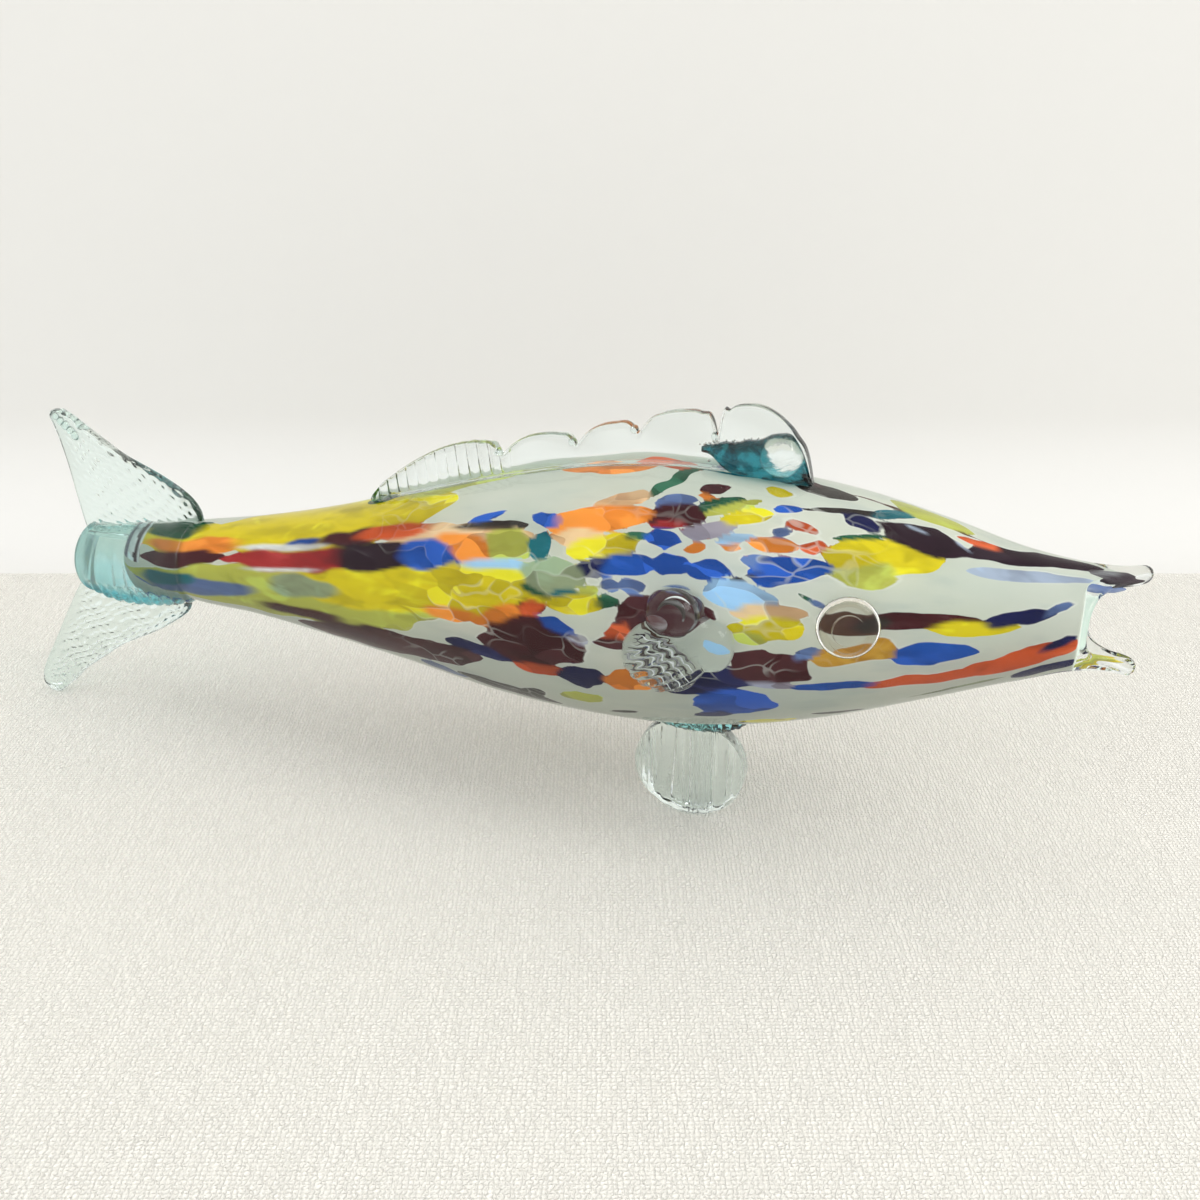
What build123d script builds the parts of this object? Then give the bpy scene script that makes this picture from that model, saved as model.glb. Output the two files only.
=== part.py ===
from build123d import *
import os

os.makedirs("parts", exist_ok=True)

# A blown-glass fish ornament: a cased bubble with fins, eyes and a tail of
# applied hot glass. It stands on its belly disc and on its lower tail tip.
# +X points to the head, +Z up, and the origin is under the middle on the table.

# Driving dimensions in millimetres
overall_length = 330.0
body_length = 284.0
body_height = 71.0
body_width = 61.6
neck_axis_height = 55.4
mouth_axis_height = 76.4
casing_wall = 2.0
core_wall = 1.6
neck_plug_length = 26.0
neck_end_radius = 6.0

# Mouth: a deep notch in both sides leaves an upper and a lower lip
mouth_depth = 14.2
mouth_gape = 21.0
mouth_corner_radius = 7.0
core_set_back = 1.2
lip_round = 0.8

# Eyes
eye_radius = 7.4
eye_height = 3.6
eye_from_mouth = 66.0
eye_above_axis = 5.0

# Pectoral fins
pectoral_radius = 10.8
pectoral_height = 7.0
pectoral_from_mouth = 107.0
pectoral_above_axis = 0.5
pectoral_knob_radius = 7.6
pectoral_knob_height = 7.6
pectoral_knob_lift = 11.0
pectoral_front_radius = 5.4
pectoral_front_height = 5.0
pectoral_front_reach = 12.2
pectoral_rib_pitch = 2.6
pectoral_rib_depth = 0.7
pectoral_rib_angle = 115.0

# Dorsal fin
dorsal_length = 121.0
dorsal_from_mouth = 80.5
dorsal_foot_height = 80.0
dorsal_crest_height = 119.5
dorsal_thickness = 4.6
dorsal_rib_pitch = 3.5
dorsal_rib_depth = 0.5
dorsal_rib_lean = 12.0
dorsal_gob_length = 29.0
dorsal_gob_radius = 6.4
dorsal_gob_height = 103.4

# Belly fin
belly_disc_radius = 15.6
belly_disc_thickness = 6.0
belly_disc_from_mouth = 108.5
belly_rim_round = 1.6
belly_foot_flat = 0.4
belly_root_length = 31.0
belly_root_radius = 6.4
belly_rib_pitch = 3.0
belly_rib_depth = 0.6

# Tail knuckle
knuckle_length = 43.0
knuckle_height = 26.0
knuckle_width = 25.0
knuckle_from_tail = 25.5
knuckle_end_round = 2.0
knuckle_rib_pitch = 4.2
knuckle_rib_count = 8
knuckle_rib_depth = 0.7

# Tail lobes
lobe_length = 40.0
lobe_thickness = 8.0
upper_lobe_root_height = 58.0
upper_lobe_top_height = 97.6
lower_lobe_root_height = 46.0

# Each row is a ring of the blown body: its place along the body, its centre's
# rise from the neck axis to the mouth axis, its height and its width.
BODY_RING_SHARES = (
    (0.000, 0.010, 0.240, 0.276),
    (0.040, 0.000, 0.290, 0.330),
    (0.085, 0.010, 0.350, 0.396),
    (0.155, 0.080, 0.414, 0.458),
    (0.243, 0.165, 0.536, 0.573),
    (0.341, 0.290, 0.710, 0.730),
    (0.447, 0.400, 0.892, 0.906),
    (0.532, 0.500, 0.982, 0.992),
    (0.602, 0.565, 1.000, 1.000),
    (0.680, 0.630, 0.943, 0.946),
    (0.757, 0.725, 0.823, 0.826),
    (0.835, 0.812, 0.645, 0.600),
    (0.905, 0.880, 0.468, 0.402),
    (0.958, 0.965, 0.378, 0.270),
    (1.000, 1.000, 0.392, 0.190),
)

# The dorsal fin's five scallops from rear to front: each centre's place along the
# fin and up it, its half length and height as shares of the same two sizes, its
# thickness, and how steeply it leans up towards the head, in degrees
DORSAL_SCALLOP_SHARES = (
    (0.182, 0.290, 0.190, 0.215, 1.00, 23),
    (0.419, 0.480, 0.095, 0.192, 1.00, 12),
    (0.571, 0.608, 0.081, 0.182, 1.00, 13),
    (0.721, 0.709, 0.091, 0.203, 1.00, 8),
    (0.892, 0.633, 0.112, 0.370, 1.20, -10),
)

# Rings of the knuckle: place along it, centre below the neck axis, height and width
KNUCKLE_RING_SHARES = (
    (0.00, 0.135, 0.670, 0.680),
    (0.22, 0.155, 0.880, 0.860),
    (0.55, 0.130, 1.000, 1.000),
    (0.83, 0.055, 0.990, 1.000),
    (1.00, -0.005, 0.976, 1.000),
)

# Level sections of a tail lobe: how far from root to tip, then the rear and front
# edges from the knuckle's end, and the thickness
UPPER_LOBE_SHARES = (
    (0.00, 0.140, 1.060, 1.00),
    (0.20, 0.070, 1.120, 1.00),
    (0.33, 0.050, 1.110, 0.80),
    (0.46, 0.035, 1.020, 0.68),
    (0.58, 0.012, 0.820, 0.60),
    (0.73, -0.010, 0.480, 0.55),
    (0.88, -0.040, 0.250, 0.55),
    (1.00, -0.050, 0.080, 0.40),
)
LOWER_LOBE_SHARES = (
    (0.00, 0.050, 0.900, 1.00),
    (0.13, -0.100, 0.930, 1.00),
    (0.23, -0.170, 0.850, 0.85),
    (0.36, -0.275, 0.610, 0.70),
    (0.55, -0.420, 0.190, 0.60),
    (0.77, -0.570, -0.170, 0.60),
    (0.92, -0.635, -0.385, 0.65),
    (1.00, -0.625, -0.440, 0.60),
)

mouth_x = overall_length / 2
neck_x = mouth_x - body_length
notch_root_x = mouth_x - mouth_depth
core_end_x = notch_root_x - core_set_back
axis_rise = mouth_axis_height - neck_axis_height


def ring_at(x):
    """Centre height, half height and half width of the body at x, between its rings."""
    along = (x - neck_x) / body_length
    for low, high in zip(BODY_RING_SHARES, BODY_RING_SHARES[1:]):
        if low[0] <= along <= high[0]:
            part = (along - low[0]) / (high[0] - low[0])
            rise, tall, wide = (a + part * (b - a) for a, b in zip(low[1:], high[1:]))
    return (neck_axis_height + rise * axis_rise, tall * body_height / 2, wide * body_width / 2)


def body_form(inset, start_x, first_row=1):
    """The blown shape, drawn in by the glass around it and closed at the neck."""
    with BuildPart() as form:
        centre, half_height, half_width = ring_at(start_x)
        with BuildSketch(Plane.YZ.offset(start_x + inset)):
            with Locations((0, centre)):
                Ellipse(half_width - inset, half_height - inset)
        for along, rise, tall, wide in BODY_RING_SHARES[first_row:]:
            with BuildSketch(Plane.YZ.offset(neck_x + along * body_length)):
                with Locations((0, neck_axis_height + rise * axis_rise)):
                    Ellipse(wide * body_width / 2 - inset, tall * body_height / 2 - inset)
        loft()
        fillet(form.faces().sort_by(Axis.X)[0].edges(), neck_end_radius - inset / 2)
    return form.part


outer_form = body_form(0, neck_x)


def seat_on_body(x, above_axis, side):
    """A plane on the body's flank with its Z out of the glass; side is 1 for the left."""
    centre, half_height, half_width = ring_at(x)
    _, height_behind, width_behind = ring_at(x - casing_wall)
    _, height_ahead, width_ahead = ring_at(x + casing_wall)
    up = above_axis / half_height
    out = (1 - up**2) ** 0.5
    width_slope = (width_ahead - width_behind) / (2 * casing_wall)
    height_slope = (height_ahead - height_behind) / (2 * casing_wall)
    along = -(out**2) * width_slope / half_width - up**2 * height_slope / half_height
    normal = Vector(along, side * out / half_width, up / half_height).normalized()
    forward = (Vector(1, 0, 0) - normal * normal.X).normalized()
    return Plane(origin=(x, side * half_width * out, centre + above_axis), x_dir=forward, z_dir=normal)


def gob(seat, half_length, half_width, height):
    """A rounded gob of glass, half of it above its seat."""
    with BuildPart() as blob:
        Sphere(1)
        scale(by=(half_length, half_width, height))
    return seat.location * blob.part


def pinched(full, inner, middle, turn, pitch, reach):
    """Ribs left by ribbed pincers: the full form stays only along parallel bars."""
    with BuildSketch() as stripes:
        with GridLocations(pitch, pitch, int(reach / pitch), 1):
            Rectangle(pitch / 2, 2 * reach)
    with BuildPart() as bars:
        with BuildSketch(middle):
            add(stripes.sketch, rotation=turn)
        extrude(amount=reach, both=True)
    with BuildPart() as piece:
        add(full)
        add(bars.part, mode=Mode.INTERSECT)
        add(inner)
    return piece.part


# Clear eyes, laid on the cheeks
for side, name in ((-1, "eye_right"), (1, "eye_left")):
    with BuildPart() as eye:
        add(gob(seat_on_body(mouth_x - eye_from_mouth, eye_above_axis, side), eye_radius, eye_radius, eye_height))
        add(outer_form, mode=Mode.SUBTRACT)
    eye.part.label = name
    export_step(eye.part, "parts/" + name + ".step")

# Pectoral fins: a ribbed lobe with a smooth knob above it and a small lobe in front
pectoral_x = mouth_x - pectoral_from_mouth
for side, name in ((-1, "pectoral_fin_right"), (1, "pectoral_fin_left")):
    seat = seat_on_body(pectoral_x, pectoral_above_axis, side)
    knob_seat = seat_on_body(pectoral_x, pectoral_above_axis + pectoral_knob_lift, side)
    front_seat = seat_on_body(pectoral_x + pectoral_front_reach, pectoral_above_axis, side)
    inner_radius = pectoral_radius - pectoral_rib_depth
    ribbed_lobe = pinched(
        gob(seat, pectoral_radius, pectoral_radius, pectoral_height),
        gob(seat, inner_radius, inner_radius, pectoral_height - pectoral_rib_depth),
        seat,
        side * pectoral_rib_angle,
        pectoral_rib_pitch,
        2 * pectoral_radius,
    )
    with BuildPart() as pectoral_fin:
        add(ribbed_lobe)
        add(gob(knob_seat, pectoral_knob_radius, pectoral_knob_radius, pectoral_knob_height))
        add(gob(front_seat, pectoral_front_radius, pectoral_front_radius, pectoral_front_height))
        add(outer_form, mode=Mode.SUBTRACT)
    pectoral_fin.part.label = name
    export_step(pectoral_fin.part, "parts/" + name + ".step")

# Dorsal fin: one trail of glass pinched to five scallops along the back
dorsal_front_x = mouth_x - dorsal_from_mouth
dorsal_rear_x = dorsal_front_x - dorsal_length
dorsal_rise = dorsal_crest_height - dorsal_foot_height


def scallop(shares, inset):
    """One pinch of the trail, lens-shaped across, and drawn in between its ribs."""
    along, up, long, tall, thick, lean = shares
    middle = (dorsal_rear_x + along * dorsal_length, 0, dorsal_foot_height + up * dorsal_rise)
    return gob(
        Plane(origin=middle).rotated((0, -lean, 0)),
        long * dorsal_length - inset,
        thick * dorsal_thickness / 2 - inset,
        tall * dorsal_rise - inset,
    )


rear_scallop, *other_scallops = DORSAL_SCALLOP_SHARES
rear_middle_x = dorsal_rear_x + rear_scallop[0] * dorsal_length
dorsal_gob_form = gob(
    Plane(origin=(dorsal_front_x - dorsal_gob_length / 2, 0, dorsal_gob_height)),
    dorsal_gob_length / 2,
    dorsal_gob_radius,
    dorsal_gob_radius,
)
with BuildPart() as dorsal_fin:
    add(pinched(
        scallop(rear_scallop, 0),
        scallop(rear_scallop, dorsal_rib_depth),
        Plane(origin=(rear_middle_x, 0, dorsal_foot_height), x_dir=(1, 0, 0), z_dir=(0, -1, 0)),
        -dorsal_rib_lean,
        dorsal_rib_pitch,
        2 * rear_scallop[2] * dorsal_length,
    ))
    for shares in other_scallops:
        add(scallop(shares, 0))
    add(dorsal_gob_form, mode=Mode.SUBTRACT)
    add(outer_form, mode=Mode.SUBTRACT)
dorsal_fin.part.label = "dorsal_fin"
export_step(dorsal_fin.part, "parts/dorsal_fin.step")

# The trail's thick front end, of another glass, that carries the last scallop
with BuildPart() as dorsal_gob:
    add(dorsal_gob_form)
    add(outer_form, mode=Mode.SUBTRACT)
dorsal_gob.part.label = "dorsal_gob"
export_step(dorsal_gob.part, "parts/dorsal_gob.step")

# Belly fin: an upright ribbed disc below a gob that lies along the belly
belly_x = mouth_x - belly_disc_from_mouth
belly_bottom = ring_at(belly_x)[0] - ring_at(belly_x)[1]


def belly_disc(thickness):
    """The pinched disc, its rim rounded off by half of what the ribs leave."""
    with BuildPart() as disc:
        with BuildSketch(Plane.XZ.offset(thickness / 2)):
            with Locations((belly_x, belly_disc_radius - belly_foot_flat)):
                Circle(belly_disc_radius)
        extrude(amount=-thickness)
        fillet(disc.edges().filter_by(GeomType.CIRCLE), belly_rim_round)
    return disc.part


belly_ribbed = pinched(
    belly_disc(belly_disc_thickness),
    belly_disc(belly_disc_thickness - 2 * belly_rib_depth),
    Plane(origin=(belly_x, 0, belly_disc_radius), x_dir=(1, 0, 0), z_dir=(0, -1, 0)),
    0,
    belly_rib_pitch,
    2 * belly_disc_radius,
)
belly_root_form = gob(
    Plane(origin=(belly_x, 0, belly_bottom)), belly_root_length / 2, belly_root_radius, belly_root_radius
)
with BuildPart() as belly_fin:
    add(belly_ribbed)
    split(bisect_by=Plane.XY, keep=Keep.TOP)
    add(belly_root_form, mode=Mode.SUBTRACT)
belly_fin.part.label = "belly_fin"
export_step(belly_fin.part, "parts/belly_fin.step")

# The gob under the belly, of another glass, that carries the disc
with BuildPart() as belly_root:
    add(belly_root_form)
    add(outer_form, mode=Mode.SUBTRACT)
belly_root.part.label = "belly_root"
export_step(belly_root.part, "parts/belly_root.step")

# The knuckle wraps the closed neck end
knuckle_x = knuckle_from_tail - overall_length / 2


def knuckle_form(inset):
    """The gather around the neck end, drawn in where the pincers left a groove."""
    with BuildPart() as form:
        for along, drop, tall, wide in KNUCKLE_RING_SHARES:
            with BuildSketch(Plane.YZ.offset(knuckle_x + along * knuckle_length)):
                with Locations((0, neck_axis_height - drop * knuckle_height)):
                    Ellipse(wide * knuckle_width / 2 - inset, tall * knuckle_height / 2 - inset)
        loft()
        fillet(form.faces().sort_by(Axis.X)[0].edges(), knuckle_end_round)
    return form.part


knuckle_outer = knuckle_form(0)
with BuildPart() as knuckle_grooves:
    with BuildSketch(Plane.XZ):
        with Locations((knuckle_x + knuckle_length / 2, neck_axis_height - knuckle_height)):
            with GridLocations(knuckle_rib_pitch, knuckle_rib_pitch, knuckle_rib_count, 1):
                Rectangle(knuckle_rib_pitch / 2, knuckle_height)
    extrude(amount=knuckle_width, both=True)
    add(knuckle_form(knuckle_rib_depth), mode=Mode.SUBTRACT)
with BuildPart() as tail_knuckle:
    add(knuckle_outer)
    add(knuckle_grooves.part, mode=Mode.SUBTRACT)
    add(outer_form, mode=Mode.SUBTRACT)
tail_knuckle.part.label = "tail_knuckle"
export_step(tail_knuckle.part, "parts/tail_knuckle.step")


def lobe_form(rows, root_height, tip_height):
    """A leaf of glass, lofted from level rings between its root and its tip."""
    with BuildPart() as leaf:
        for down, rear, front, thick in rows:
            with BuildSketch(Plane.XY.offset(root_height + down * (tip_height - root_height))):
                with Locations((knuckle_x + (rear + front) / 2 * lobe_length, 0)):
                    Ellipse((front - rear) / 2 * lobe_length, thick * lobe_thickness / 2)
        loft()
    return leaf.part


# Two tail lobes, pinched to a leaf shape above and below the knuckle
for rows, root_height, tip_height, name in (
    (UPPER_LOBE_SHARES, upper_lobe_root_height, upper_lobe_top_height, "tail_lobe_upper"),
    (LOWER_LOBE_SHARES, lower_lobe_root_height, 0, "tail_lobe_lower"),
):
    with BuildPart() as lobe:
        add(lobe_form(rows, root_height, tip_height))
        add(knuckle_outer, mode=Mode.SUBTRACT)
        add(outer_form, mode=Mode.SUBTRACT)
    lobe.part.label = name
    export_step(lobe.part, "parts/" + name + ".step")

# The blown bubble itself: its hollow ends before the neck, which is solid glass
core_form = body_form(casing_wall, neck_x)
cavity_form = body_form(casing_wall + core_wall, neck_x + neck_plug_length, first_row=3)

# The opal bubble stops just behind the corners of the mouth
with BuildPart() as core_blank:
    add(core_form)
    split(bisect_by=Plane.YZ.offset(core_end_x), keep=Keep.BOTTOM)

with BuildPart() as opal_core:
    add(core_blank.part)
    add(cavity_form, mode=Mode.SUBTRACT)
opal_core.part.label = "opal_core"
export_step(opal_core.part, "parts/opal_core.step")

# The clear overlay around it, which alone makes the mouth rim and the lips
with BuildPart() as clear_casing:
    add(body_form(0, neck_x))
    add(core_blank.part, mode=Mode.SUBTRACT)
    add(cavity_form, mode=Mode.SUBTRACT)
    with BuildSketch(Plane.XZ):
        with Locations((notch_root_x + mouth_depth, ring_at(notch_root_x)[0])):
            RectangleRounded(2 * mouth_depth, mouth_gape, mouth_corner_radius)
    extrude(amount=body_width, both=True, mode=Mode.SUBTRACT)
    fillet(clear_casing.edges().filter_by_position(Axis.X, core_end_x + core_set_back / 2, mouth_x), lip_round)
clear_casing.part.label = "clear_casing"
export_step(clear_casing.part, "parts/clear_casing.step")
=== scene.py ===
import math

import bpy
import numpy as np
from bpy.props import FloatProperty, FloatVectorProperty, IntProperty, PointerProperty
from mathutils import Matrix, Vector, noise
from mathutils.bvhtree import BVHTree


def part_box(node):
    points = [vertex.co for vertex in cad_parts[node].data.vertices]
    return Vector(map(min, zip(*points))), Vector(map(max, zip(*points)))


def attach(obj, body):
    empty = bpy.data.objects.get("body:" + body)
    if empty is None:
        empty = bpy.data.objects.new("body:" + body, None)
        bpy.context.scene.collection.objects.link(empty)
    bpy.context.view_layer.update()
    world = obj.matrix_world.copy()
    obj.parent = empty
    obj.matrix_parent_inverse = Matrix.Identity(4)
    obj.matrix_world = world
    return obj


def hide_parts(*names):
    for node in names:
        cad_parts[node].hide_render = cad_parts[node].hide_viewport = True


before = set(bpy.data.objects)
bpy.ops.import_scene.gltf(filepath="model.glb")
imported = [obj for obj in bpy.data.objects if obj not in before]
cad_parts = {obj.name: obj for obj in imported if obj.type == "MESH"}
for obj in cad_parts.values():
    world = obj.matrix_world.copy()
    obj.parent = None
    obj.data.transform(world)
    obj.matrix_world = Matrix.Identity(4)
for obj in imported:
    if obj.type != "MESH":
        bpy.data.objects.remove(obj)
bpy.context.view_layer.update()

bl_info = {
    "name": "Blown Glass Fish",
    "version": (1, 0, 0),
    "blender": (4, 5, 0),
    "location": "View3D > Sidebar > Glass Fish",
    "description": "Dresses the solids of a blown-glass fish as clear, opal and coloured glass",
    "category": "Add Mesh",
}

MM = 0.001
casing_low, casing_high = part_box("clear_casing")
NECK_X, MOUTH_X = casing_low.x, casing_high.x
BODY_LENGTH = MOUTH_X - NECK_X
BODY_HEIGHT = 71.0 * MM
BODY_WIDTH = 61.6 * MM
NECK_AXIS_Z = 55.4 * MM
MOUTH_AXIS_Z = 76.4 * MM

# The photograph's camera: its place, where it looks and its lens
CAMERA_PLACE = Vector((132.9, -298.9, 209.8)) * MM
CAMERA_AHEAD = Vector((-0.2953, 0.8558, -0.4248))
PHOTO_SIDE = 1200
CAMERA_LENS = 39.0
CAMERA_SENSOR = 36.0
PHOTO_FOCAL = CAMERA_LENS / CAMERA_SENSOR * PHOTO_SIDE

# Rings of the blown body: place along it, the centre's rise from the neck axis to the
# mouth axis, height and width, as shares of the sizes above
BODY_RINGS = (
    (0.000, 0.010, 0.240, 0.276),
    (0.040, 0.000, 0.290, 0.330),
    (0.085, 0.010, 0.350, 0.396),
    (0.155, 0.080, 0.414, 0.458),
    (0.243, 0.165, 0.536, 0.573),
    (0.341, 0.290, 0.710, 0.730),
    (0.447, 0.400, 0.892, 0.906),
    (0.532, 0.500, 0.982, 0.992),
    (0.602, 0.565, 1.000, 1.000),
    (0.680, 0.630, 0.943, 0.946),
    (0.757, 0.725, 0.823, 0.826),
    (0.835, 0.812, 0.645, 0.600),
    (0.905, 0.880, 0.468, 0.402),
    (0.958, 0.965, 0.378, 0.270),
    (1.000, 1.000, 0.392, 0.190),
)

# A quarter of the mouth's rim, from the side up to the tip of a lip: the place along
# the fish in millimetres, and the angle round the tube in degrees
MOUTH_RIM = (
    (150.8, 0.0),
    (150.9, 14.0),
    (151.6, 30.0),
    (153.2, 44.0),
    (155.8, 55.0),
    (158.4, 62.0),
    (160.4, 67.5),
    (161.7, 77.0),
    (162.0, 90.0),
)

# Chips and streaks of coloured glass on the side that the photograph shows: colour, x and y of both ends and the
# width, in the photograph's pixels. A few thin white and pale blue streaks among them are painted highlights.
CHIPS = (
    ("olive", 132, 570, 440, 606, 34), ("yellow", 132, 537, 330, 527, 16), ("yellow", 220, 533, 450, 503, 31),
    ("peach", 380, 536, 530, 536, 15), ("olive", 400, 503, 566, 463, 9), ("forest", 132, 532, 212, 530, 9),
    ("orange", 132, 544, 247, 545, 10), ("burgundy", 134, 556, 224, 556, 10), ("cobalt", 284, 546, 326, 541, 5),
    ("burgundy", 312, 543, 386, 535, 11), ("rust", 352, 538, 440, 528, 10), ("olive", 160, 572, 430, 600, 24),
    # In the next row, the thin white streak in the middle is a painted highlight.
    ("yellow", 280, 578, 546, 592, 37), ("pearl_and_highlight", 232, 549, 336, 546, 4), ("red", 226, 559, 368, 559, 13),
    ("plum", 326, 558, 430, 556, 19), ("cobalt", 398, 555, 464, 558, 20), ("orange", 446, 549, 500, 556, 13),
    ("sage", 266, 580, 344, 591, 14), ("slate", 132, 572, 262, 590, 10), ("teal", 132, 570, 200, 578, 7),
    # In the next row, the first streak, thin and white, is a painted highlight.
    ("pearl_and_highlight", 236, 568, 330, 569, 2), ("olive", 486, 546, 534, 548, 28), ("teal", 530, 546, 554, 548, 26),
    ("sky", 456, 563, 546, 567, 7), ("soot", 447, 528, 530, 526, 6), ("cobalt", 470, 523, 508, 514, 5),
    ("cobalt", 532, 519, 562, 524, 13), ("orange", 432, 540, 492, 543, 9), ("orange", 420, 608, 484, 617, 9),
    ("orange", 474, 620, 530, 606, 12), ("burgundy", 516, 604, 544, 608, 9), ("burgundy", 480, 636, 588, 648, 40),
    ("burgundy", 308, 619, 480, 656, 14), ("burgundy", 258, 600, 352, 619, 6), ("navy", 448, 636, 514, 658, 8),
    ("slate", 424, 656, 474, 673, 9), ("soot", 464, 673, 560, 697, 8), ("rust", 516, 661, 560, 670, 7),
    ("orange", 566, 466, 654, 470, 13), ("rust", 640, 458, 704, 465, 11), ("forest", 646, 499, 702, 473, 15),
    ("teal", 696, 472, 792, 484, 8), ("yellow", 764, 492, 794, 499, 9), ("soot", 792, 487, 856, 503, 8),
    ("burgundy", 786, 480, 824, 479, 4), ("navy", 714, 472, 776, 478, 5), ("burgundy", 700, 490, 730, 492, 11),
    ("orange", 697, 497, 716, 500, 6), ("slate", 652, 505, 698, 501, 13), ("forest", 697, 510, 744, 500, 11),
    ("olive", 704, 516, 764, 503, 9), ("peach", 596, 506, 650, 497, 16), ("orange", 548, 527, 652, 515, 21),
    ("peach", 554, 536, 608, 545, 15), ("burgundy", 646, 517, 706, 516, 17), ("red", 650, 527, 690, 524, 7),
    ("lavender", 682, 533, 736, 528, 15), ("yellow", 720, 521, 776, 515, 14), ("yellow", 572, 552, 646, 545, 24),
    ("forest", 625, 536, 652, 539, 9), ("cobalt", 644, 536, 682, 543, 18), ("orange", 683, 549, 709, 547, 11),
    ("orange", 719, 548, 740, 550, 9), ("sky", 716, 543, 756, 537, 9), ("orange", 750, 543, 797, 548, 14),
    ("rust", 798, 547, 832, 549, 12), ("rust", 784, 520, 814, 534, 10), ("slate", 768, 533, 794, 533, 9),
    ("cobalt", 776, 511, 803, 512, 6), ("soot", 798, 512, 900, 521, 5), ("navy", 842, 519, 880, 532, 15),
    ("navy", 576, 570, 618, 566, 17), ("cobalt", 598, 566, 656, 565, 19), ("cobalt", 648, 566, 694, 566, 18),
    ("cobalt", 684, 570, 734, 574, 21), ("slate", 619, 585, 648, 588, 15), ("slate", 600, 582, 622, 588, 12),
    ("slate", 742, 558, 782, 566, 13), ("cobalt", 748, 572, 836, 570, 25), ("soot", 724, 582, 768, 572, 3),
    ("yellow", 828, 556, 944, 562, 32), ("olive", 832, 578, 898, 576, 22), ("forest", 830, 541, 892, 538, 5),
    ("sky", 706, 592, 778, 600, 24), ("peach", 730, 612, 806, 612, 14), ("yellow", 728, 624, 806, 630, 20),
    ("olive", 734, 634, 770, 640, 11), ("forest", 798, 593, 815, 602, 4), ("slate", 811, 601, 826, 606, 6),
    ("sage", 518, 572, 584, 584, 34), ("forest", 519, 582, 554, 600, 5), ("teal", 549, 595, 580, 592, 7),
    ("olive", 578, 590, 604, 590, 12), ("forest", 595, 602, 618, 599, 13), ("yellow", 546, 604, 602, 602, 14),
    ("rust", 518, 608, 545, 606, 12), ("cobalt", 536, 616, 575, 631, 13), ("lavender", 566, 635, 592, 641, 9),
    ("burgundy", 608, 614, 660, 608, 28), ("rust", 604, 634, 632, 629, 14), ("burgundy", 596, 642, 630, 643, 9),
    ("burgundy", 644, 610, 716, 618, 24), ("slate", 664, 596, 690, 594, 9), ("plum", 636, 615, 684, 631, 4),
    ("umber", 634, 624, 678, 639, 4), ("plum", 638, 636, 684, 648, 3), ("slate", 636, 649, 676, 658, 3),
    ("sky", 704, 640, 724, 650, 9), ("rust", 524, 664, 572, 670, 6), ("navy", 558, 671, 608, 677, 17),
    ("orange", 606, 676, 668, 677, 21), ("navy", 662, 682, 762, 674, 28), ("lavender", 746, 679, 794, 684, 7),
    ("burgundy", 728, 660, 812, 668, 32), ("slate", 790, 655, 824, 650, 10), ("amber", 812, 657, 900, 645, 18),
    ("cobalt", 682, 700, 778, 698, 19), ("navy", 696, 710, 732, 708, 5), ("yellow", 738, 716, 792, 713, 9),
    ("cobalt", 790, 684, 876, 680, 6), ("olive", 562, 691, 604, 693, 9), ("soot", 612, 713, 641, 714, 3),
    ("soot", 810, 715, 864, 709, 3), ("soot", 518, 686, 548, 696, 7), ("plum", 872, 524, 974, 559, 26),
    ("plum", 950, 552, 1096, 572, 14), ("rust", 958, 540, 1000, 553, 5), ("mist_and_highlight", 968, 572, 1092, 584, 10),
    # In the next row, the first two thin pale blue streaks are painted highlights on the dark band.
    ("mist_and_highlight", 952, 541, 972, 556, 2), ("mist_and_highlight", 902, 526, 930, 538, 2), ("umber", 856, 500, 990, 548, 2),
    ("sage", 900, 694, 1004, 676, 2), ("olive", 888, 506, 972, 533, 12), ("teal", 868, 517, 914, 520, 8),
    ("umber", 816, 618, 884, 622, 26), ("burgundy", 838, 622, 986, 621, 14), ("soot", 852, 622, 890, 622, 13),
    ("yellow", 926, 628, 1020, 626, 11), ("navy", 978, 623, 1054, 614, 11), ("slate", 1044, 615, 1092, 602, 10),
    ("cobalt", 888, 654, 972, 649, 17), ("rust", 864, 682, 990, 668, 8), ("rust", 960, 672, 1092, 645, 13),
    ("navy", 1040, 650, 1088, 636, 8), ("navy", 1014, 675, 1092, 661, 8),
)

# In those pixels, the line that a point beside the fish is moved towards until it meets the body
AXIS_START, AXIS_SLOPE = (160, 566), 0.056
BODY_PIXELS = (144, 1074)

# Arcs of colour round the closed neck end: name, place and width in millimetres
NECK_ARCS = (("pearl_and_highlight", -114.0, 6.4), ("navy", -115.6, 1.3), ("plum", -112.4, 1.8))

# Strands of colour that run on from the opal into the lips: name, colour, angle round
# the tube in degrees, start and end along the fish, thickness and width in millimetres
LIP_STREAKS = (
    ("lip_strand_dark", "plum", 98.0, 146.6, 162.4, 1.7, 6.4),
    ("lip_strand_blue", "slate", 124.0, 148.6, 158.8, 0.8, 3.0),
    ("lip_strand_rust", "rust", 84.0, 148.6, 158.0, 0.7, 2.4),
    ("lip_strand_yellow", "yellow", 262.0, 151.0, 161.2, 0.8, 3.6),
    ("lip_strand_olive", "olive", 246.0, 149.0, 159.5, 0.7, 2.2),
)

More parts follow.
